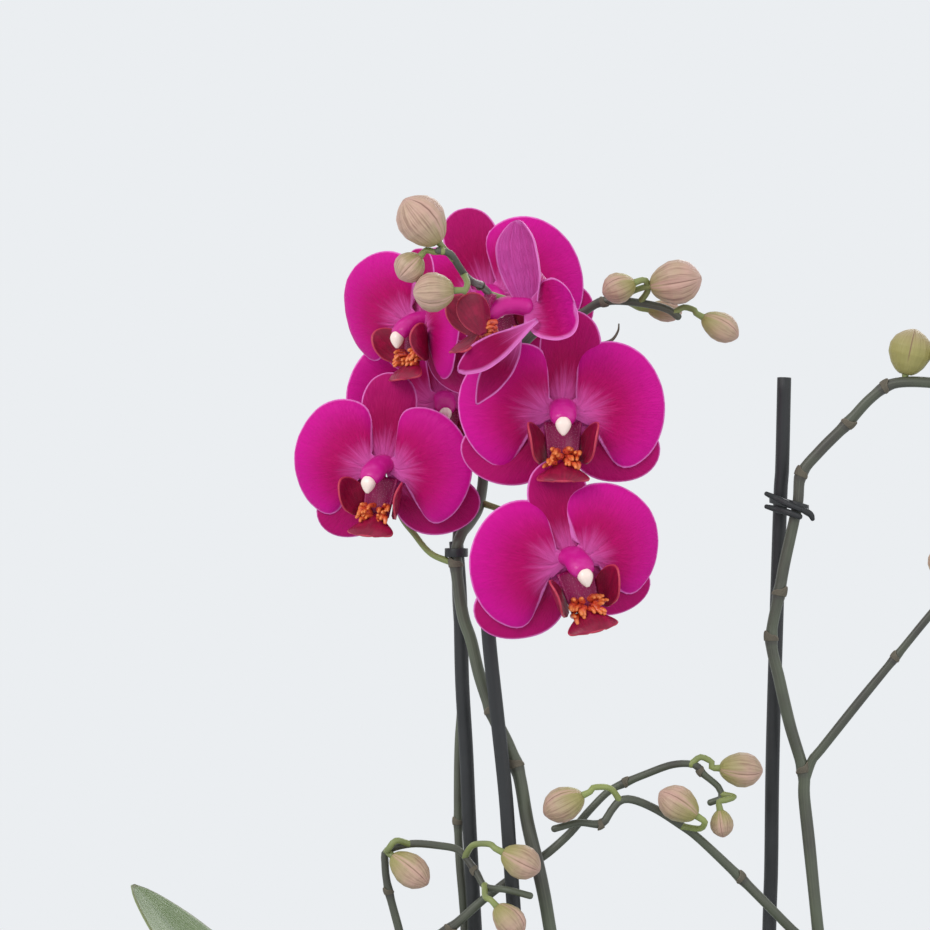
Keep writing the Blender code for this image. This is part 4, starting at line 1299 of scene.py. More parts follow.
@dataclass(frozen=True)
class Crown:
    """The short stub that the leaves grow from: clasping leaf bases, the lowest outermost."""

    radius: float = 9.0
    height: float = 42.0
    sheaths: tuple[tuple[float, float], ...] = ((268, 12), (-26, 17), (122, 22), (30, 29), (160, 35))

    def build(self, finish: bpy.types.Material, dry_finish: bpy.types.Material) -> None:
        """Makes the stub with its sheaths, and a torn dry sheath round its foot."""
        form = Form()
        base = Matrix.Translation((0, 0, BARK_TOP - 2))

        def stub(share: np.ndarray, angle: np.ndarray) -> tuple[np.ndarray, np.ndarray]:
            """Radius and height: a lumpy post with a rounded top."""
            radius = self.radius * (0.82 + 0.05 * np.cos(angle * 3 + share * 5))
            return radius * np.sqrt(np.clip(1.02 - share ** 6, 0.004, 1)), share * (self.height + 1)

        add_ball(form, base, stub, rows=30, columns=40, rim=9.0)
        for number, (azimuth, top) in enumerate(self.sheaths):
            self.add_sheath(form, azimuth, top, number)
        form.make("crown.sheaths", finish, "leaf", "crown")
        dry = Form()
        self.add_sheath(dry, 205, 9, 7, 1.5)
        self.add_sheath(dry, 330, 7, 8, 1.9)
        dry.make("crown.old_sheaths", dry_finish, "leaf")

    def add_sheath(self, form: Form, azimuth: float, top: float, number: int, extra: float = 0.0) -> None:
        """Adds one leaf base that clasps the stub and runs out into its leaf."""
        rise = np.linspace(0, 1, 18)[:, None]
        across = np.linspace(-1, 1, 25)
        angle = across * (2.2 - 0.9 * rise ** 2) + radians(azimuth)
        swell = 0.35 * (4 - number) * 0.5 + extra
        middle = np.cos(across * pi / 2)
        girth = self.radius * 0.9 + swell + 1.6 * np.sin(rise * pi * 0.5) * middle
        height = BARK_TOP - 1 + (top + 3) * rise * (0.8 + 0.2 * middle)
        points = np.stack([girth * np.cos(angle), girth * np.sin(angle), height + 0 * angle], axis=-1)
        rim = np.minimum((1 - np.abs(across)) * 10, (1 - rise) * 10)
        outward = (cos(radians(azimuth)), sin(radians(azimuth)), 0)
        add_sheet(form, points, outward, 0.35 + 0.4 * np.clip(rim / 3, 0, 1), rim, 0.1, across, float(number))


@dataclass(frozen=True)
class Root:
    """An aerial root that creeps over the bark or the rim."""

    name: str
    azimuth: float
    height: float
    way: tuple[Point, ...]
    radius: float = 2.4

    def build(self, finish: bpy.types.Material, tone: float) -> None:
        """Makes the root, knobbly and rounded at its tip."""
        angle = radians(self.azimuth)
        start = [(reach * cos(angle), reach * sin(angle), self.height) for reach in (8.0, 14.4)]
        route = curve([grown(point) for point in start + list(self.way)], 1.6)
        share = np.linspace(0, 1, len(route))
        rng = np.random.default_rng(int(self.azimuth))
        knobs = np.convolve(rng.normal(0, 0.12, len(route) + 4), np.full(5, 0.2), "valid")
        radii = self.radius * (1 - 0.25 * share) * (1 + knobs)
        form = Form()
        add_tube(form, route, radii, sides=16, tone=tone, reach=share)
        form.make(f"{self.name}.skin", finish, "root", self.name)


@dataclass(frozen=True)
class Bark:
    """Chips of bark that fill the pot."""

    radius: float = 66.0
    chips: int = 520
    clear: tuple[tuple[float, float, float], ...] = (
        (0, 0, 10.5), (-50.6, -14, 4.2), (-31.6, -32, 4.2), (57.3, 4, 4.2))

    def build(self, finish: bpy.types.Material) -> None:
        """Makes the chips on a packed bed."""
        rng = np.random.default_rng(11)
        form = Form()
        self.add_bed(form, rng)
        for _ in range(self.chips):
            distance = self.radius * np.sqrt(rng.uniform(0, 1))
            angle = rng.uniform(0, 2 * pi)
            place = np.array([distance * cos(angle), distance * sin(angle)])
            if any(np.hypot(*(place - np.array(spot[:2]))) < spot[2] + 3 for spot in self.clear):
                continue
            self.add_chip(form, rng, np.array([*place, BARK_TOP - 2.5 + rng.uniform(-1, 3.0)]))
        form.make("bark.chips", finish, "bark", "bark")

    def add_bed(self, form: Form, rng: np.random.Generator) -> None:
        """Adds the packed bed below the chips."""
        rings, columns = 12, 72
        turn = np.linspace(0, 2 * pi, columns, endpoint=False)
        rows = [(0.5, BARK_TOP - 3)]
        rows += [(self.radius * 1.04 * (i / rings), BARK_TOP - 3) for i in range(1, rings + 1)]
        rows += [(self.radius * 1.03, BARK_TOP - 8), (57.6, 8), (0.5, 8)]
        points = []
        for number, (radius, height) in enumerate(rows):
            lumps = rng.uniform(-1.2, 0.6, columns) if 0 < number < rings else 0
            points.append(np.column_stack([radius * np.cos(turn), radius * np.sin(turn),
                                           np.full(columns, height) + lumps]))
        faces = [tuple(reversed(face)) for face in capped(len(rows), columns)]
        form.add(np.vstack(points), faces, tone=0.15)

    def add_chip(self, form: Form, rng: np.random.Generator, place: np.ndarray) -> None:
        """Adds one chip: a flat irregular block with worn corners."""
        length, width, depth = rng.uniform(7, 17), rng.uniform(5, 10), rng.uniform(2.4, 5)
        corners = rng.integers(6, 9)
        turn = np.sort(np.linspace(0, 2 * pi, corners, endpoint=False) + rng.uniform(-0.25, 0.25, corners))
        rings = []
        for height, share in ((-0.5, 0.78), (-0.32, 0.98), (0.3, 1.0), (0.5, 0.8)):
            jitter = 1 + rng.uniform(-0.12, 0.12, corners)
            rings.append(np.column_stack([np.cos(turn) * length / 2 * share * jitter,
                                          np.sin(turn) * width / 2 * share * jitter,
                                          np.full(corners, height * depth)]))
        points = np.vstack(rings)
        spin = Euler((rng.normal(0, 0.35), rng.normal(0, 0.35), rng.uniform(0, 2 * pi))).to_matrix()
        reach = points[:, 0] / 12
        across = points[:, 1] / 12
        points = points @ np.array(spin).T + place
        distance = np.hypot(points[:, 0], points[:, 1])
        points[:, :2] *= np.minimum(1, 69.0 / np.maximum(distance, 1e-6))[:, None]
        form.add(points, capped(4, corners), reach=reach, across=across, tone=rng.uniform(0, 1))


@dataclass(frozen=True)
class Pot:
    """A round pot with a band below its rim and an unglazed foot."""

    height: float = 130.0
    base: float = 62.0
    rim: float = 75.0

    def profile(self) -> list[tuple[float, float, float]]:
        """Its section from the middle of its foot up, over the rim and down inside: radius, height and
        how bare of glaze it is."""
        base, rim, top = self.base, self.rim, self.height
        foot = [(0.4, 2.2, 1), (base - 10, 2.2, 1), (base - 8, 2.0, 1), (base - 7, 0, 1), (base - 3.5, 0, 1),
                (base - 1.8, 0.6, 0.6)]
        outside = [(base - 0.4, 2.2, 0), (base + 0.2, 5, 0), (rim - 7.6, 60, 0), (rim - 3.6, top - 19, 0)]
        band = [(rim - 3.1, top - 16.8, 0), (rim - 1.6, top - 15.2, 0), (rim - 0.3, top - 13.6, 0),
                (rim, top - 11.6, 0), (rim, top - 2.6, 0), (rim - 0.4, top - 0.8, 0), (rim - 1.4, top, 0),
                (rim - 2.8, top - 0.2, 0), (rim - 3.6, top - 1.4, 0), (rim - 4.1, top - 4, 0)]
        inside = [(rim - 10.2, 60, 0), (base - 3.4, 9, 0), (base - 6, 6.4, 0), (0.4, 6, 0)]
        return foot + outside + band + inside

    def build(self, finish: bpy.types.Material) -> None:
        """Makes the pot."""
        profile = self.profile()
        rows = []
        for (r0, z0, t0), (r1, z1, t1) in zip(profile, profile[1:]):
            count = max(1, int(np.hypot(r1 - r0, z1 - z0) / 6))
            for t in np.arange(count) / count:
                rows.append((r0 + (r1 - r0) * t, z0 + (z1 - z0) * t, t0 + (t1 - t0) * t))
        rows.append(profile[-1])
        columns = 128
        turn = np.linspace(0, 2 * pi, columns, endpoint=False)
        points = np.vstack([np.column_stack([r * np.cos(turn), r * np.sin(turn), np.full(columns, z)])
                            for r, z, _ in rows])
        tone = np.repeat([t for _, _, t in rows], columns)
        near = [min(abs(z - self.height + 0.4), 20) if r > 70 else 20 for r, z, _ in rows]
        form = Form()
        form.add(points, capped(len(rows), columns), tone=tone, rim=np.repeat(near, columns))
        form.make("pot.body", finish, "pot", "pot")


# Stakes and clips


@dataclass(frozen=True)
class Stake:
    """A plain round stake, slightly bowed, given as (x, height above the bark) at one depth."""

    name: str
    depth: float
    places: tuple[tuple[float, float], ...]
    radius: float = 3.0

    def build(self, finish: bpy.types.Material) -> None:
        """Makes the stake, cut off square at its top and pointed at its foot."""
        way = [grown((x, self.depth, height)) for x, height in self.places]
        route = even(curve(way, 4.0), 90)
        share = np.linspace(0, 1, len(route))
        radii = self.radius * (1 - 0.6 * np.clip((share - 0.975) / 0.025, 0, 1)) * 0.99
        form = Form()
        add_tube(form, route, radii, sides=28, dome=0.1)
        form.make(f"{self.name}.rod", finish, "stake", self.name)


@dataclass(frozen=True)
class Clip:
    """A sprung band round a stake and a stem, with two finger tabs."""

    name: str
    stake: tuple[float, float]
    stem: tuple[float, float]
    reach: tuple[float, float]
    height: float
    tabs: tuple[tuple[Point, ...], ...]
    slope: float = 0.0
    width: float = 3.6
    wall: float = 1.3

    def build(self, finish: bpy.types.Material) -> None:
        """Makes the band and its tabs."""
        start, end = np.array(self.stake), np.array(self.stem)
        along = unit(end - start)
        across = np.array([-along[1], along[0]])
        loop = []
        for centre, reach, first in ((end, self.reach[1], -90), (start, self.reach[0], 90)):
            for angle in np.radians(first + np.linspace(0, 180, 22)):
                loop.append(centre + (along * cos(angle) + across * sin(angle)) * (reach + self.wall / 2))
        loop = np.array(loop)
        loop = even(np.vstack([loop, loop[:1]]), 72)[:-1]
        ahead = unit(np.roll(loop, -1, axis=0) - np.roll(loop, 1, axis=0))
        out = np.column_stack([ahead[:, 1], -ahead[:, 0]])
        section = [(-0.5, -0.42), (-0.42, -0.5), (0.42, -0.5), (0.5, -0.42), (0.5, 0.42), (0.42, 0.5),
                   (-0.42, 0.5), (-0.5, 0.42)]
        points = []
        for place, away in zip(loop, out):
            for thick, high in section:
                spot = place + away * thick * self.wall
                rise = (spot[0] - (start[0] + end[0]) / 2) * self.slope
                points.append(grown((spot[0], spot[1], self.height + rise + high * self.width)))
        count, sides = len(loop), len(section)
        faces = [(i * sides + j, i * sides + (j + 1) % sides, ((i + 1) % count) * sides + (j + 1) % sides,
                  ((i + 1) % count) * sides + j) for i in range(count) for j in range(sides)]
        form = Form()
        form.add(np.array(points), faces, reach=np.repeat(np.linspace(0, 1, count), sides))
        for tab in self.tabs:
            route = curve([grown(point) for point in tab], 0.7)
            share = np.linspace(0, 1, len(route))
            add_tube(form, route, 1.25 + 0.2 * np.sin(share * pi) - 0.3 * share ** 4, sides=12, flat=0.8)
        form.make(f"{self.name}.band", finish, "stake", self.name)


# The plant's places


MAIN_WAY = (
    (1, -22, 48), (-10, -26, 98), (-22, -27, 158), (-30.6, -26, 213.5), (-34.4, -29, 234.5),
    (-39.8, -28, 257.3), (-43.5, -26, 277.9), (-48.1, -25, 290.3), (-53.5, -24.5, 301.5),
    (-59.7, -24, 318.6), (-63.4, -23, 333.9), (-66.8, -22, 344.3), (-69.3, -21, 360.9),
    (-69.7, -21, 370.5), (-67.6, -20, 378), (-63.9, -13, 382.9), (-60.5, -4, 388.7), (-58.8, 4, 397),
    (-57.5, 10, 408), (-52.8, 15, 425.7), (-46.9, 13, 444.7), (-41.1, 8, 458.1), (-31, 4, 466),
    (-17.7, -2, 470.5), (-9.8, -6, 475), (-1.1, -9, 475.7), (11.5, -9, 474.1), (19, -9, 472),
    (23.2, -9, 469))
THIN_WAY = (
    (-9, -25, 38), (-26, -38, 70), (-48, -38, 112), (-62, -22, 150), (-67, -13, 182), (-66.2, -9, 212),
    (-66.8, -9, 225), (-68.2, -9, 241.4), (-68.9, -9, 257.3), (-68.9, -8.5, 274.9), (-68.5, -8, 291.6),
    (-67.6, -7, 308.3), (-68.5, -6, 333.4), (-69.7, -5, 354.3), (-69.7, -1, 375.2), (-67.2, 6, 400.4),
    (-63.8, 12, 421.5), (-58.3, 12, 442.6), (-55, 10, 463.6), (-54.6, -6, 473.7), (-55.5, -24, 476.6),
    (-56.9, -48, 478.4), (-59.8, -70, 480.4), (-62.7, -88, 481), (-65.5, -97, 482.8), (-68.4, -102, 486.7),
    (-72, -106, 491.8), (-76.8, -108, 493))
RIGHT_WAY = (
    (9.5, -16, 30), (24, -19, 48), (52, -15, 86), (72, -9, 128), (82, -6, 173), (83.6, -6, 199.3),
    (81.9, -6, 211.9), (78.2, -6, 248.3), (76.1, -6, 268), (75.7, -6, 278.9), (70.2, -6, 297.8),
    (65.6, -6, 317.5), (62.3, -6, 334.2), (65.6, -6, 353.1), (68.1, -6, 366.9), (73.2, -6, 389.9),
    (74.8, -6, 402.9), (82.8, -6, 413), (94, -8, 424.3), (103.5, -10, 434.7), (112.9, -12, 441),
    (128.2, -14, 441.4), (138.6, -15, 438.8), (146.9, -15, 433.8))
RIGHT_BRANCH_WAY = (
    (76.1, -6, 274), (79.3, -7, 283.2), (83, -8, 287.9), (99.1, -11, 308.5), (113.6, -14, 326.5),
    (128.1, -16, 344.5), (137.2, -17, 354.6), (144.6, -18, 360.8), (150, -18, 363.5))
LEFT_BRANCH_WAY = (
    (83.6, -6, 199), (77.5, -9, 206.8), (71, -13, 212.5), (60.4, -18, 223.3), (47.3, -22, 236.5),
    (31.3, -26, 251.7), (23.3, -28, 257.7), (12.9, -30, 264.4), (3.7, -31, 268.2), (-1.7, -31, 267.8),
    (-5.4, -31, 263.7), (-9.6, -31, 258.3), (-19.1, -31, 258.7), (-29, -30, 256.1))
LEFT_WAY = (
    (-16, -21, 28), (-26, -36, 41), (-42, -45, 61), (-63, -44, 94), (-81, -34, 138), (-90, -21, 178),
    (-91, -18, 201.2), (-93.4, -20, 213), (-98, -24, 231.2), (-99.2, -27, 241.8), (-98.2, -29, 247),
    (-88.3, -30, 249.9), (-76.3, -30, 249.1), (-68.8, -30, 247.4), (-64.7, -31, 242.9),
    (-61, -33, 237.7), (-57.3, -36, 232.5), (-48.6, -42, 231.7), (-39.1, -43, 229.3))
LOW_BRANCH_WAY = (
    (-91, -18, 201.2), (-84.7, -20, 206.8), (-72.6, -23, 214.1), (-66.4, -24.5, 219.2),
    (-58.9, -24.5, 225.9), (-47.2, -23.5, 234.9), (-38.9, -21, 240.6), (-31.4, -20, 245.5),
    (-22.2, -20, 253.8), (-14.3, -20, 263), (-6.4, -20, 270.9), (0.7, -21, 274.7), (8.6, -22, 278.1),
    (20.2, -23, 282.3), (29.3, -24, 282.4), (33, -24, 278.6), (39.3, -24, 273.2), (40.5, -24, 268.7),
    (35.9, -24, 266.6))

SPIKES = (
    Spike("spike_main", 272, 20,
          Stem(MAIN_WAY, (2.8, 2.8, 1.6), ((-41.8, 282), (-57.6, 303.4), (-72, 365), (-8, 474))),
          hooks=(((-9, -8, 457.4), (-4.4, -8.6, 459.4), (-2, -9, 463), (-1.6, -9, 466)),)),
    Spike("spike_thin", 248, 26,
          Stem(THIN_WAY, (1.8, 1.8, 1.5), ((-69.6, 257), (-55, 474), (-60, 480)))),
    Spike("spike_right", 300, 24,
          Stem(RIGHT_WAY, (2.6, 2.6, 2.2), ((76.2, 278), (62.6, 334), (66, 352.6), (75.4, 402.6), (94.6, 424.4),
                                            (110, 439))),
          (Stem(RIGHT_BRANCH_WAY, (2.1, 1.5), ((114.6, 326.4),)),
           Stem(LEFT_BRANCH_WAY, (2.2, 1.5), ((48.4, 235), (-9, 257.6))))),
    Spike("spike_left", 224, 20,
          Stem(LEFT_WAY, (1.9, 1.9, 1.4), ((-98.3, 229.5), (-62, 240))),
          (Stem(LOW_BRANCH_WAY, (2.0, 1.4), ((-74, 216), (1.3, 274), (32, 279.4))),)),
)

BUDS = (
    (Bud("bud_front_large", (-76.6, -106, 496.5), (-90.4, -110.4, 513.4), 9.6, 20, 0.95), "spike_thin",
     ((-70.6, -104.4, 489.9),)),
    (Bud("bud_front_middle", (-70.5, -108, 476.9), (-86.8, -108, 476.1), 7.9, 80, 0.9), "spike_thin",
     ((-66.6, -99, 484), (-65, -104, 480), (-66.2, -107.6, 476.6))),
    (Bud("bud_front_small", (-84, -104, 490.8), (-92.6, -104, 482), 6.4, 0, 0.8), "spike_thin",
     ((-75, -107.6, 492.8), (-78.6, -105.6, 492.6))),
    (Bud("bud_back_round", (4.6, -17.6, 483), (-8.6, -18.6, 478.4), 6.4, 40), "spike_main",
     ((7, -9, 474.8), (10.4, -12.6, 480), (9.4, -16.6, 484))),
    (Bud("bud_back_large", (11.6, -14.6, 481.6), (32.6, -17.6, 485), 9.3, 65, 1.0), "spike_main",
     ((0, -9, 475.6), (3, -11.5, 479))),
    (Bud("bud_back_under", (11, 2, 472.6), (25.2, 3, 471), 4.6, 10), "spike_main",
     ((1, -9, 475.6), (4, -2, 474.6))),
    (Bud("bud_back_small", (33.6, -10, 468.8), (48.2, -10, 460.4), 6.0, 30), "spike_main",
     ((21.5, -9, 470.6), (25.5, -9, 473), (30, -9.6, 471.8))),
    (Bud("bud_top", (118, -12, 444.9), (122.1, -12, 463.8), 9.0, 55, -0.1), "spike_right",
     ((114, -12, 441.4),)),
    (Bud("bud_top_side", (136.8, -15, 444.2), (136, -15, 459), 7.0, 15, 0.3), "spike_right",
     ((134, -14.6, 440.6),)),
    (Bud("bud_top_end", (150.6, -15, 430.6), (160, -15, 418.6), 6.2, 70), "spike_right", ((144, -15, 436),)),
    (Bud("bud_side_first", (136, -17, 359.6), (131, -17, 373), 6.6, 25), "spike_right", ((134.6, -17, 352),)),
    (Bud("bud_side_end", (154.4, -18, 365.8), (167, -18, 371.4), 6.0, 5), "spike_right", ((146, -18, 361.6),)),
    (Bud("bud_low_left", (-96, -32.5, 245), (-81.4, -37, 233.6), 6.8, 35), "spike_left",
     ((-89, -30, 249.8), (-94.6, -34, 251.5), (-98, -33.6, 247.6))),
    (Bud("bud_low_middle", (-50.4, -48, 247.6), (-35.2, -49, 240), 7.0, 60), "spike_left",
     ((-66, -30.6, 244.8), (-62.6, -37, 249.8), (-56, -45, 250.8))),
    (Bud("bud_low_under", (-53, -46, 225.2), (-42.4, -48, 213.6), 6.2, 0), "spike_left",
     ((-57.8, -36, 233), (-57.6, -42, 228.8))),
    (Bud("bud_branch_left", (-17.4, -37, 270.4), (-33.4, -36, 262.6), 7.2, 45), "spike_right",
     ((-1.7, -31, 267.8), (-6, -34.6, 273.2), (-13, -37, 273.6))),
    (Bud("bud_branch_right", (29.6, -38, 262), (14.4, -38, 271.8), 7.2, 20), "spike_right",
     ((24.2, -28, 257), (31.4, -33, 256.4), (33.2, -37, 259.2))),
    (Bud("bud_twig_large", (40, -24.4, 281), (57.8, -24, 279.8), 7.2, 75), "spike_left",
     ((28, -24, 282.5), (32, -24.4, 285.6), (36.6, -24.4, 283.4))),
    (Bud("bud_twig_small", (39.8, -30, 263.8), (41.2, -30.5, 252.6), 4.8, 50), "spike_left",
     ((41, -24, 270), (45.6, -27, 269.2), (42, -30, 268))),
)

TOP_PETAL_STRAPS = (
    Strap(((1, 2, -3), (8, 5, -3.5), (15, 8, -2), (21.5, 10, 0)), (4, 10.5, 13.5, 13.4, 11), 0.18, 1.2,
          band=3.4, hand=-1),
    Strap(((0, -2, 1), (0, -12, 8), (2, -22, 14), (4, -31, 18)), (1.4, 5, 9.6, 9.6, 5), 0.1),
)
TOP_SEPAL_STRAPS = (
    Strap(((2.5, 3, 1), (1, 5, 11), (-1.2, 5.5, 22), (-2, 4, 34.5)), (5, 8.6, 10, 9.4, 5), 0.12, 2.2,
          shows_back=True, band=3.0, hand=-1),
    Strap(((6, 7, -6), (-4, 10, -13), (-15, 12, -20), (-26, 11, -27)), (0.8, 3.0, 5.8, 6.4, 3.6), 0.2, 1.0,
          band=3.0),
    Strap(((-2, 0, -9), (-6, 2, -19), (-12, 2, -29), (-18.6, 1, -40)), (2.0, 5.0, 6.4, 5, 1.6), 0.15),
)

FLOWERS = (
    (Flower("flower_low_left", (-99.6, -28, 407.1), -16, 8, 4, 0.95, Lip(-8), 1.0, Hold(lean=2),
            (Hold(0.9, -17), Hold(1.0, -4)), (Hold(), Hold(swing=12))), "spike_main",
     ((-70.2, -20.6, 366), (-80, -17, 370), (-87, -14.5, 378), (-93.6, -14, 388))),
    (Flower("flower_right", (-26.1, -66, 430), 0, 2, 0, 1.0, Lip(), 2.0, Hold(lean=7),
            (Hold(), Hold(0.96))), "spike_main",
     ((-57.4, 9, 407), (-46, -8, 404), (-36, -24, 408), (-27, -42, 424))),
    (Flower("flower_low_right", (-22.9, -70, 369.6), 11, 8, -13, 1.0, Lip(4), 3.0, Hold(),
            (Hold(1.0, 5), Hold(0.82, 10)), (Hold(), Hold(0.97, -4, shift=(-3, 0)))), "spike_main",
     ((-59.8, 0, 391.4), (-46, -14, 386), (-32, -34, 375), (-25.4, -48, 371))),
    (Flower("flower_left", (-83.3, -34, 466.8), -48, 8, 16, 0.92, Lip(-3, 2, lean=-20, lift=4.5, spread=1.2), 4.0,
            Hold(0.8, -20), (Hold(0.9), Hold(0.9)), (Hold(1.04, swing=20), Hold(0.86, swing=18))),
     "spike_thin",
     ((-54.8, -12, 475), (-62, -16, 471.5), (-72, -21.6, 467))),
    (SideFlower("flower_top", (-42.8, -84, 471.6), -80, 0, 0, 1.0, Lip(0, 12, 16, lift=10, callus_back=7), 5.0,
                petal_straps=TOP_PETAL_STRAPS, sepal_straps=TOP_SEPAL_STRAPS), "spike_thin",
     ((-56.4, -38, 477.6), (-46, -46, 474.6), (-33.4, -64, 472.6), (-29, -78, 471.8))),
    (Flower("flower_top_back", (-56.5, 36, 479.5), 0, 4, -20, 1.0, Lip(8), 6.0, Hold(0.94, 4)), "spike_thin",
     ((-61, 12, 432), (-60, 30, 437), (-58, 49, 450), (-57.2, 52, 470))),
    (Flower("flower_hidden", (-74.8, 3, 434.8), 3, 6, 0, 0.82, Lip(), 7.0,
            petal_holds=(Hold(1.2, -6), Hold())), "spike_thin",
     ((-63.4, 11.5, 413.4), (-71, 16, 420.4), (-75.4, 16, 429))),
)

LEAVES = (
    Leaf("leaf_1", 160.1, 30, (122, 113), (223.5, 225), 37, fold=0.16, twist=-10, outline=(
        (0.0, 0.2), (0.08, 0.25), (0.2, 0.5), (0.35, 0.84), (0.5, 1.0), (0.65, 0.98), (0.8, 0.84),
        (0.9, 0.58), (0.96, 0.32), (0.99, 0.13), (1.0, 0.03))),
    Leaf("leaf_2", 30, 24, (120, 105), (205, 98), 38),
    Leaf("leaf_3", 122, 16, (110, 78), (185, 46), 37),
    Leaf("leaf_4", -26, 10, (105, 62), (190, 34), 34),
    Leaf("leaf_5", 268, 5, (80, 42), (150, 30), 28),
)

ROOTS = (
    Root("aerial_root_1", 192, 14, ((-22, -1, 12), (-32, 4, 5), (-44, 12, 3.2))),
    Root("aerial_root_2", 76, 12, ((9, 30, 13), (15, 52, 15), (20, 66, 22), (23, 75, 23), (25, 81, 13),
                                   (25, 83, -4))),
)

STAKES = (
    Stake("stake_left", -14, ((-69.7, 375), (-68, 350.3), (-67.2, 316.9), (-65.5, 287.3), (-64.3, 259.7),
                              (-61.8, 212.5), (-55.5, 99.8), (-50.4, 0), (-47, -66))),
    Stake("stake_middle", -32, ((-58.2, 366), (-56, 334.2), (-52.7, 303.5), (-49.4, 272.9), (-47.7, 250.1),
                                (-45.2, 214), (-38, 102), (-31.5, 0), (-27.3, -66))),
    Stake("stake_right", 4, ((68.3, 443.7), (67.4, 404.6), (66.6, 391.6), (63.6, 292.3), (62.8, 237.6),
                             (62, 211.1), (59.4, 97.5), (57.3, 0), (56, -62))),
)

CLIPS = (
    Clip("clip_left", (-69.6, -14), (-69.7, -21), (3.6, 3.4), 370.5, ()),
    Clip("clip_right", (66.9, 4), (73.6, -6), (3.6, 3.2), 390.6,
         (((74, -10.6, 388.6), (69, -9, 390.8), (64, -6, 393.2), (60.2, -6, 395)),
          ((74, -11, 385.4), (69, -9.4, 387.2), (64, -6, 388.6), (60.2, -6, 389.6)),
          ((75, -10.4, 388.4), (78.4, -10.4, 386.4), (79.4, -10.2, 384.4))), slope=-0.28),
)


# The studio


@dataclass(frozen=True)
class Studio:
    """A pale room, a floor under the pot, soft lamps and the camera."""

    air: Colour = screen(235, 238, 241)
    floor_size: float = 2.4

    def build(self) -> None:
        """Makes the surroundings and the camera."""
        scene = bpy.context.scene
        scene.view_settings.view_transform = "Standard"
        world = bpy.data.worlds.new("studio")
        world.use_nodes = True
        world.node_tree.nodes["Background"].inputs["Color"].default_value = (*self.air, 1)
        world.node_tree.nodes["Background"].inputs["Strength"].default_value = 1.0
        scene.world = world
        self.add_lamp("key", (-1.3, -1.6, 1.7), 1.1, 24.0)
        self.add_lamp("fill", (1.5, -1.3, 1.0), 1.3, 7.0)
        self.add_lamp("back", (0.6, 1.6, 1.5), 1.0, 10.0)
        self.add_floor()
        self.add_camera()

    def add_lamp(self, name: str, place: Point, size: float, power: float) -> None:
        """Adds a soft square lamp that points at the flowers."""
        light = bpy.data.lights.new(name, "AREA")
        light.size = size
        light.energy = power
        lamp = bpy.data.objects.new(name, light)
        lamp.location = place
        lamp.rotation_euler = (Vector((-0.04, -0.03, 0.45)) - Vector(place)).to_track_quat("-Z", "Y").to_euler()
        bpy.context.scene.collection.objects.link(lamp)

    def add_floor(self) -> None:
        """Adds the floor."""
        mesh = bpy.data.meshes.new("floor")
        half = self.floor_size / 2
        mesh.from_pydata([(-half, -half, 0), (half, -half, 0), (half, half, 0), (-half, half, 0)], [],
                         [(0, 1, 2, 3)])
        paint = Paint("floor")
        grain = paint.noise(paint.place(), 14.0, 3.0)
        paint.surface(paint.mix(grain * 0.3, screen(206, 209, 212), screen(198, 201, 204)), 0.7)
        mesh.materials.append(paint.material)
        floor = bpy.data.objects.new("floor", mesh)
        bpy.context.scene.collection.objects.link(floor)

    def add_camera(self) -> None:
        """Adds the camera, level with the flowers."""
        camera = bpy.data.objects.new("camera", bpy.data.cameras.new("camera"))
        camera.data.sensor_width = 36.0
        camera.data.lens = 221.2
        camera.data.clip_end = 50
        camera.location = (-0.066, -2.4, 0.519)
        camera.rotation_euler = (radians(90), 0, 0)
        bpy.context.scene.collection.objects.link(camera)
        bpy.context.scene.camera = camera


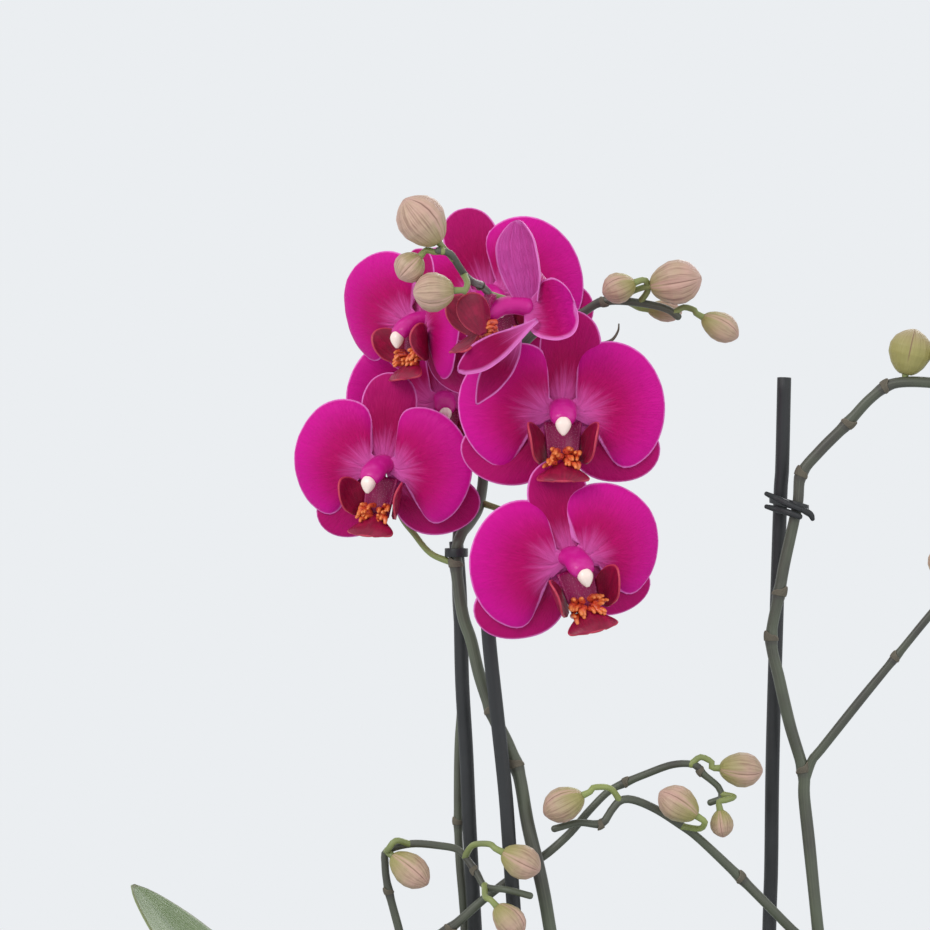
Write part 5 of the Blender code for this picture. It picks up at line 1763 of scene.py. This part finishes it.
def make_finishes() -> dict[str, bpy.types.Material]:
    """Every finish of the plant, by a short name."""
    petal = TepalFinish("petal_velvet", screen(182, 0, 102), screen(169, 0, 83), screen(200, 8, 143))
    sepal = TepalFinish("sepal_velvet", screen(163, 0, 82), screen(145, 0, 64), screen(172, 6, 102),
                        glow_reach=0.5)
    made = {
        "petal": petal, "sepal": sepal, "lip": LipFinish("lip_wax"), "column": ColumnFinish("column_wax"),
        "cap": CapFinish("anther_cap"), "callus": CallusFinish("callus_teeth"), "bud": BudFinish("bud_skin"),
        "stem": StemFinish("stem_skin"), "dry": DryFinish("dry_bract"), "leaf": LeafFinish("leaf_skin"),
        "stake": StakeFinish("dark_plastic"), "pot": PotFinish("white_glaze"), "bark": BarkFinish("bark_chips"),
        "root": RootFinish("root_skin"),
    }
    return {name: finish.material() for name, finish in made.items()}


def flower_stalk_end(flower: Flower) -> tuple[Point, ...]:
    """The last two points of a flower's stalk, behind its middle."""
    frame = flower.frame()
    return tuple(tuple(frame @ Vector((0, distance, 0))) for distance in (10.0, 2.5))


def bud_stalk_end(bud: Bud) -> tuple[Point, ...]:
    """The last two points of a bud's stalk, in line with the bud."""
    base, tip = grown(bud.base), grown(bud.tip)
    axis = unit(tip - base)
    return tuple(tuple(base + axis * distance) for distance in (-3.5, 0.6))


def main() -> None:
    """Loads the frame and builds every piece of the plant on it."""
    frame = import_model()
    log.info("frame of %d solids", len(frame["nodes"]))
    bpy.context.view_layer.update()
    finishes = make_finishes()
    Pot().build(finishes["pot"])
    Bark().build(finishes["bark"])
    Crown().build(finishes["leaf"], finishes["dry"])
    for number, leaf in enumerate(LEAVES):
        leaf.build(finishes["leaf"], number * 1.3)
    for number, root in enumerate(ROOTS):
        root.build(finishes["root"], float(number))
    for stake in STAKES:
        stake.build(finishes["stake"])
    for clip in CLIPS:
        clip.build(finishes["stake"])
    stalks: dict[str, list[Stalk]] = {spike.name: [] for spike in SPIKES}
    for bud, spike_name, way in BUDS:
        bud.build(finishes["bud"])
        stalks[spike_name].append(Stalk(way, bud_stalk_end(bud)))
    for flower, spike_name, way in FLOWERS:
        flower.build(finishes)
        stalks[spike_name].append(Stalk(way, flower_stalk_end(flower)))
    for spike in SPIKES:
        spike.build(stalks[spike.name], finishes["stem"], finishes["dry"])
    Studio().build()


if __name__ == "__main__":
    logging.basicConfig(level=logging.INFO, format="%(name)s: %(message)s")
    main()
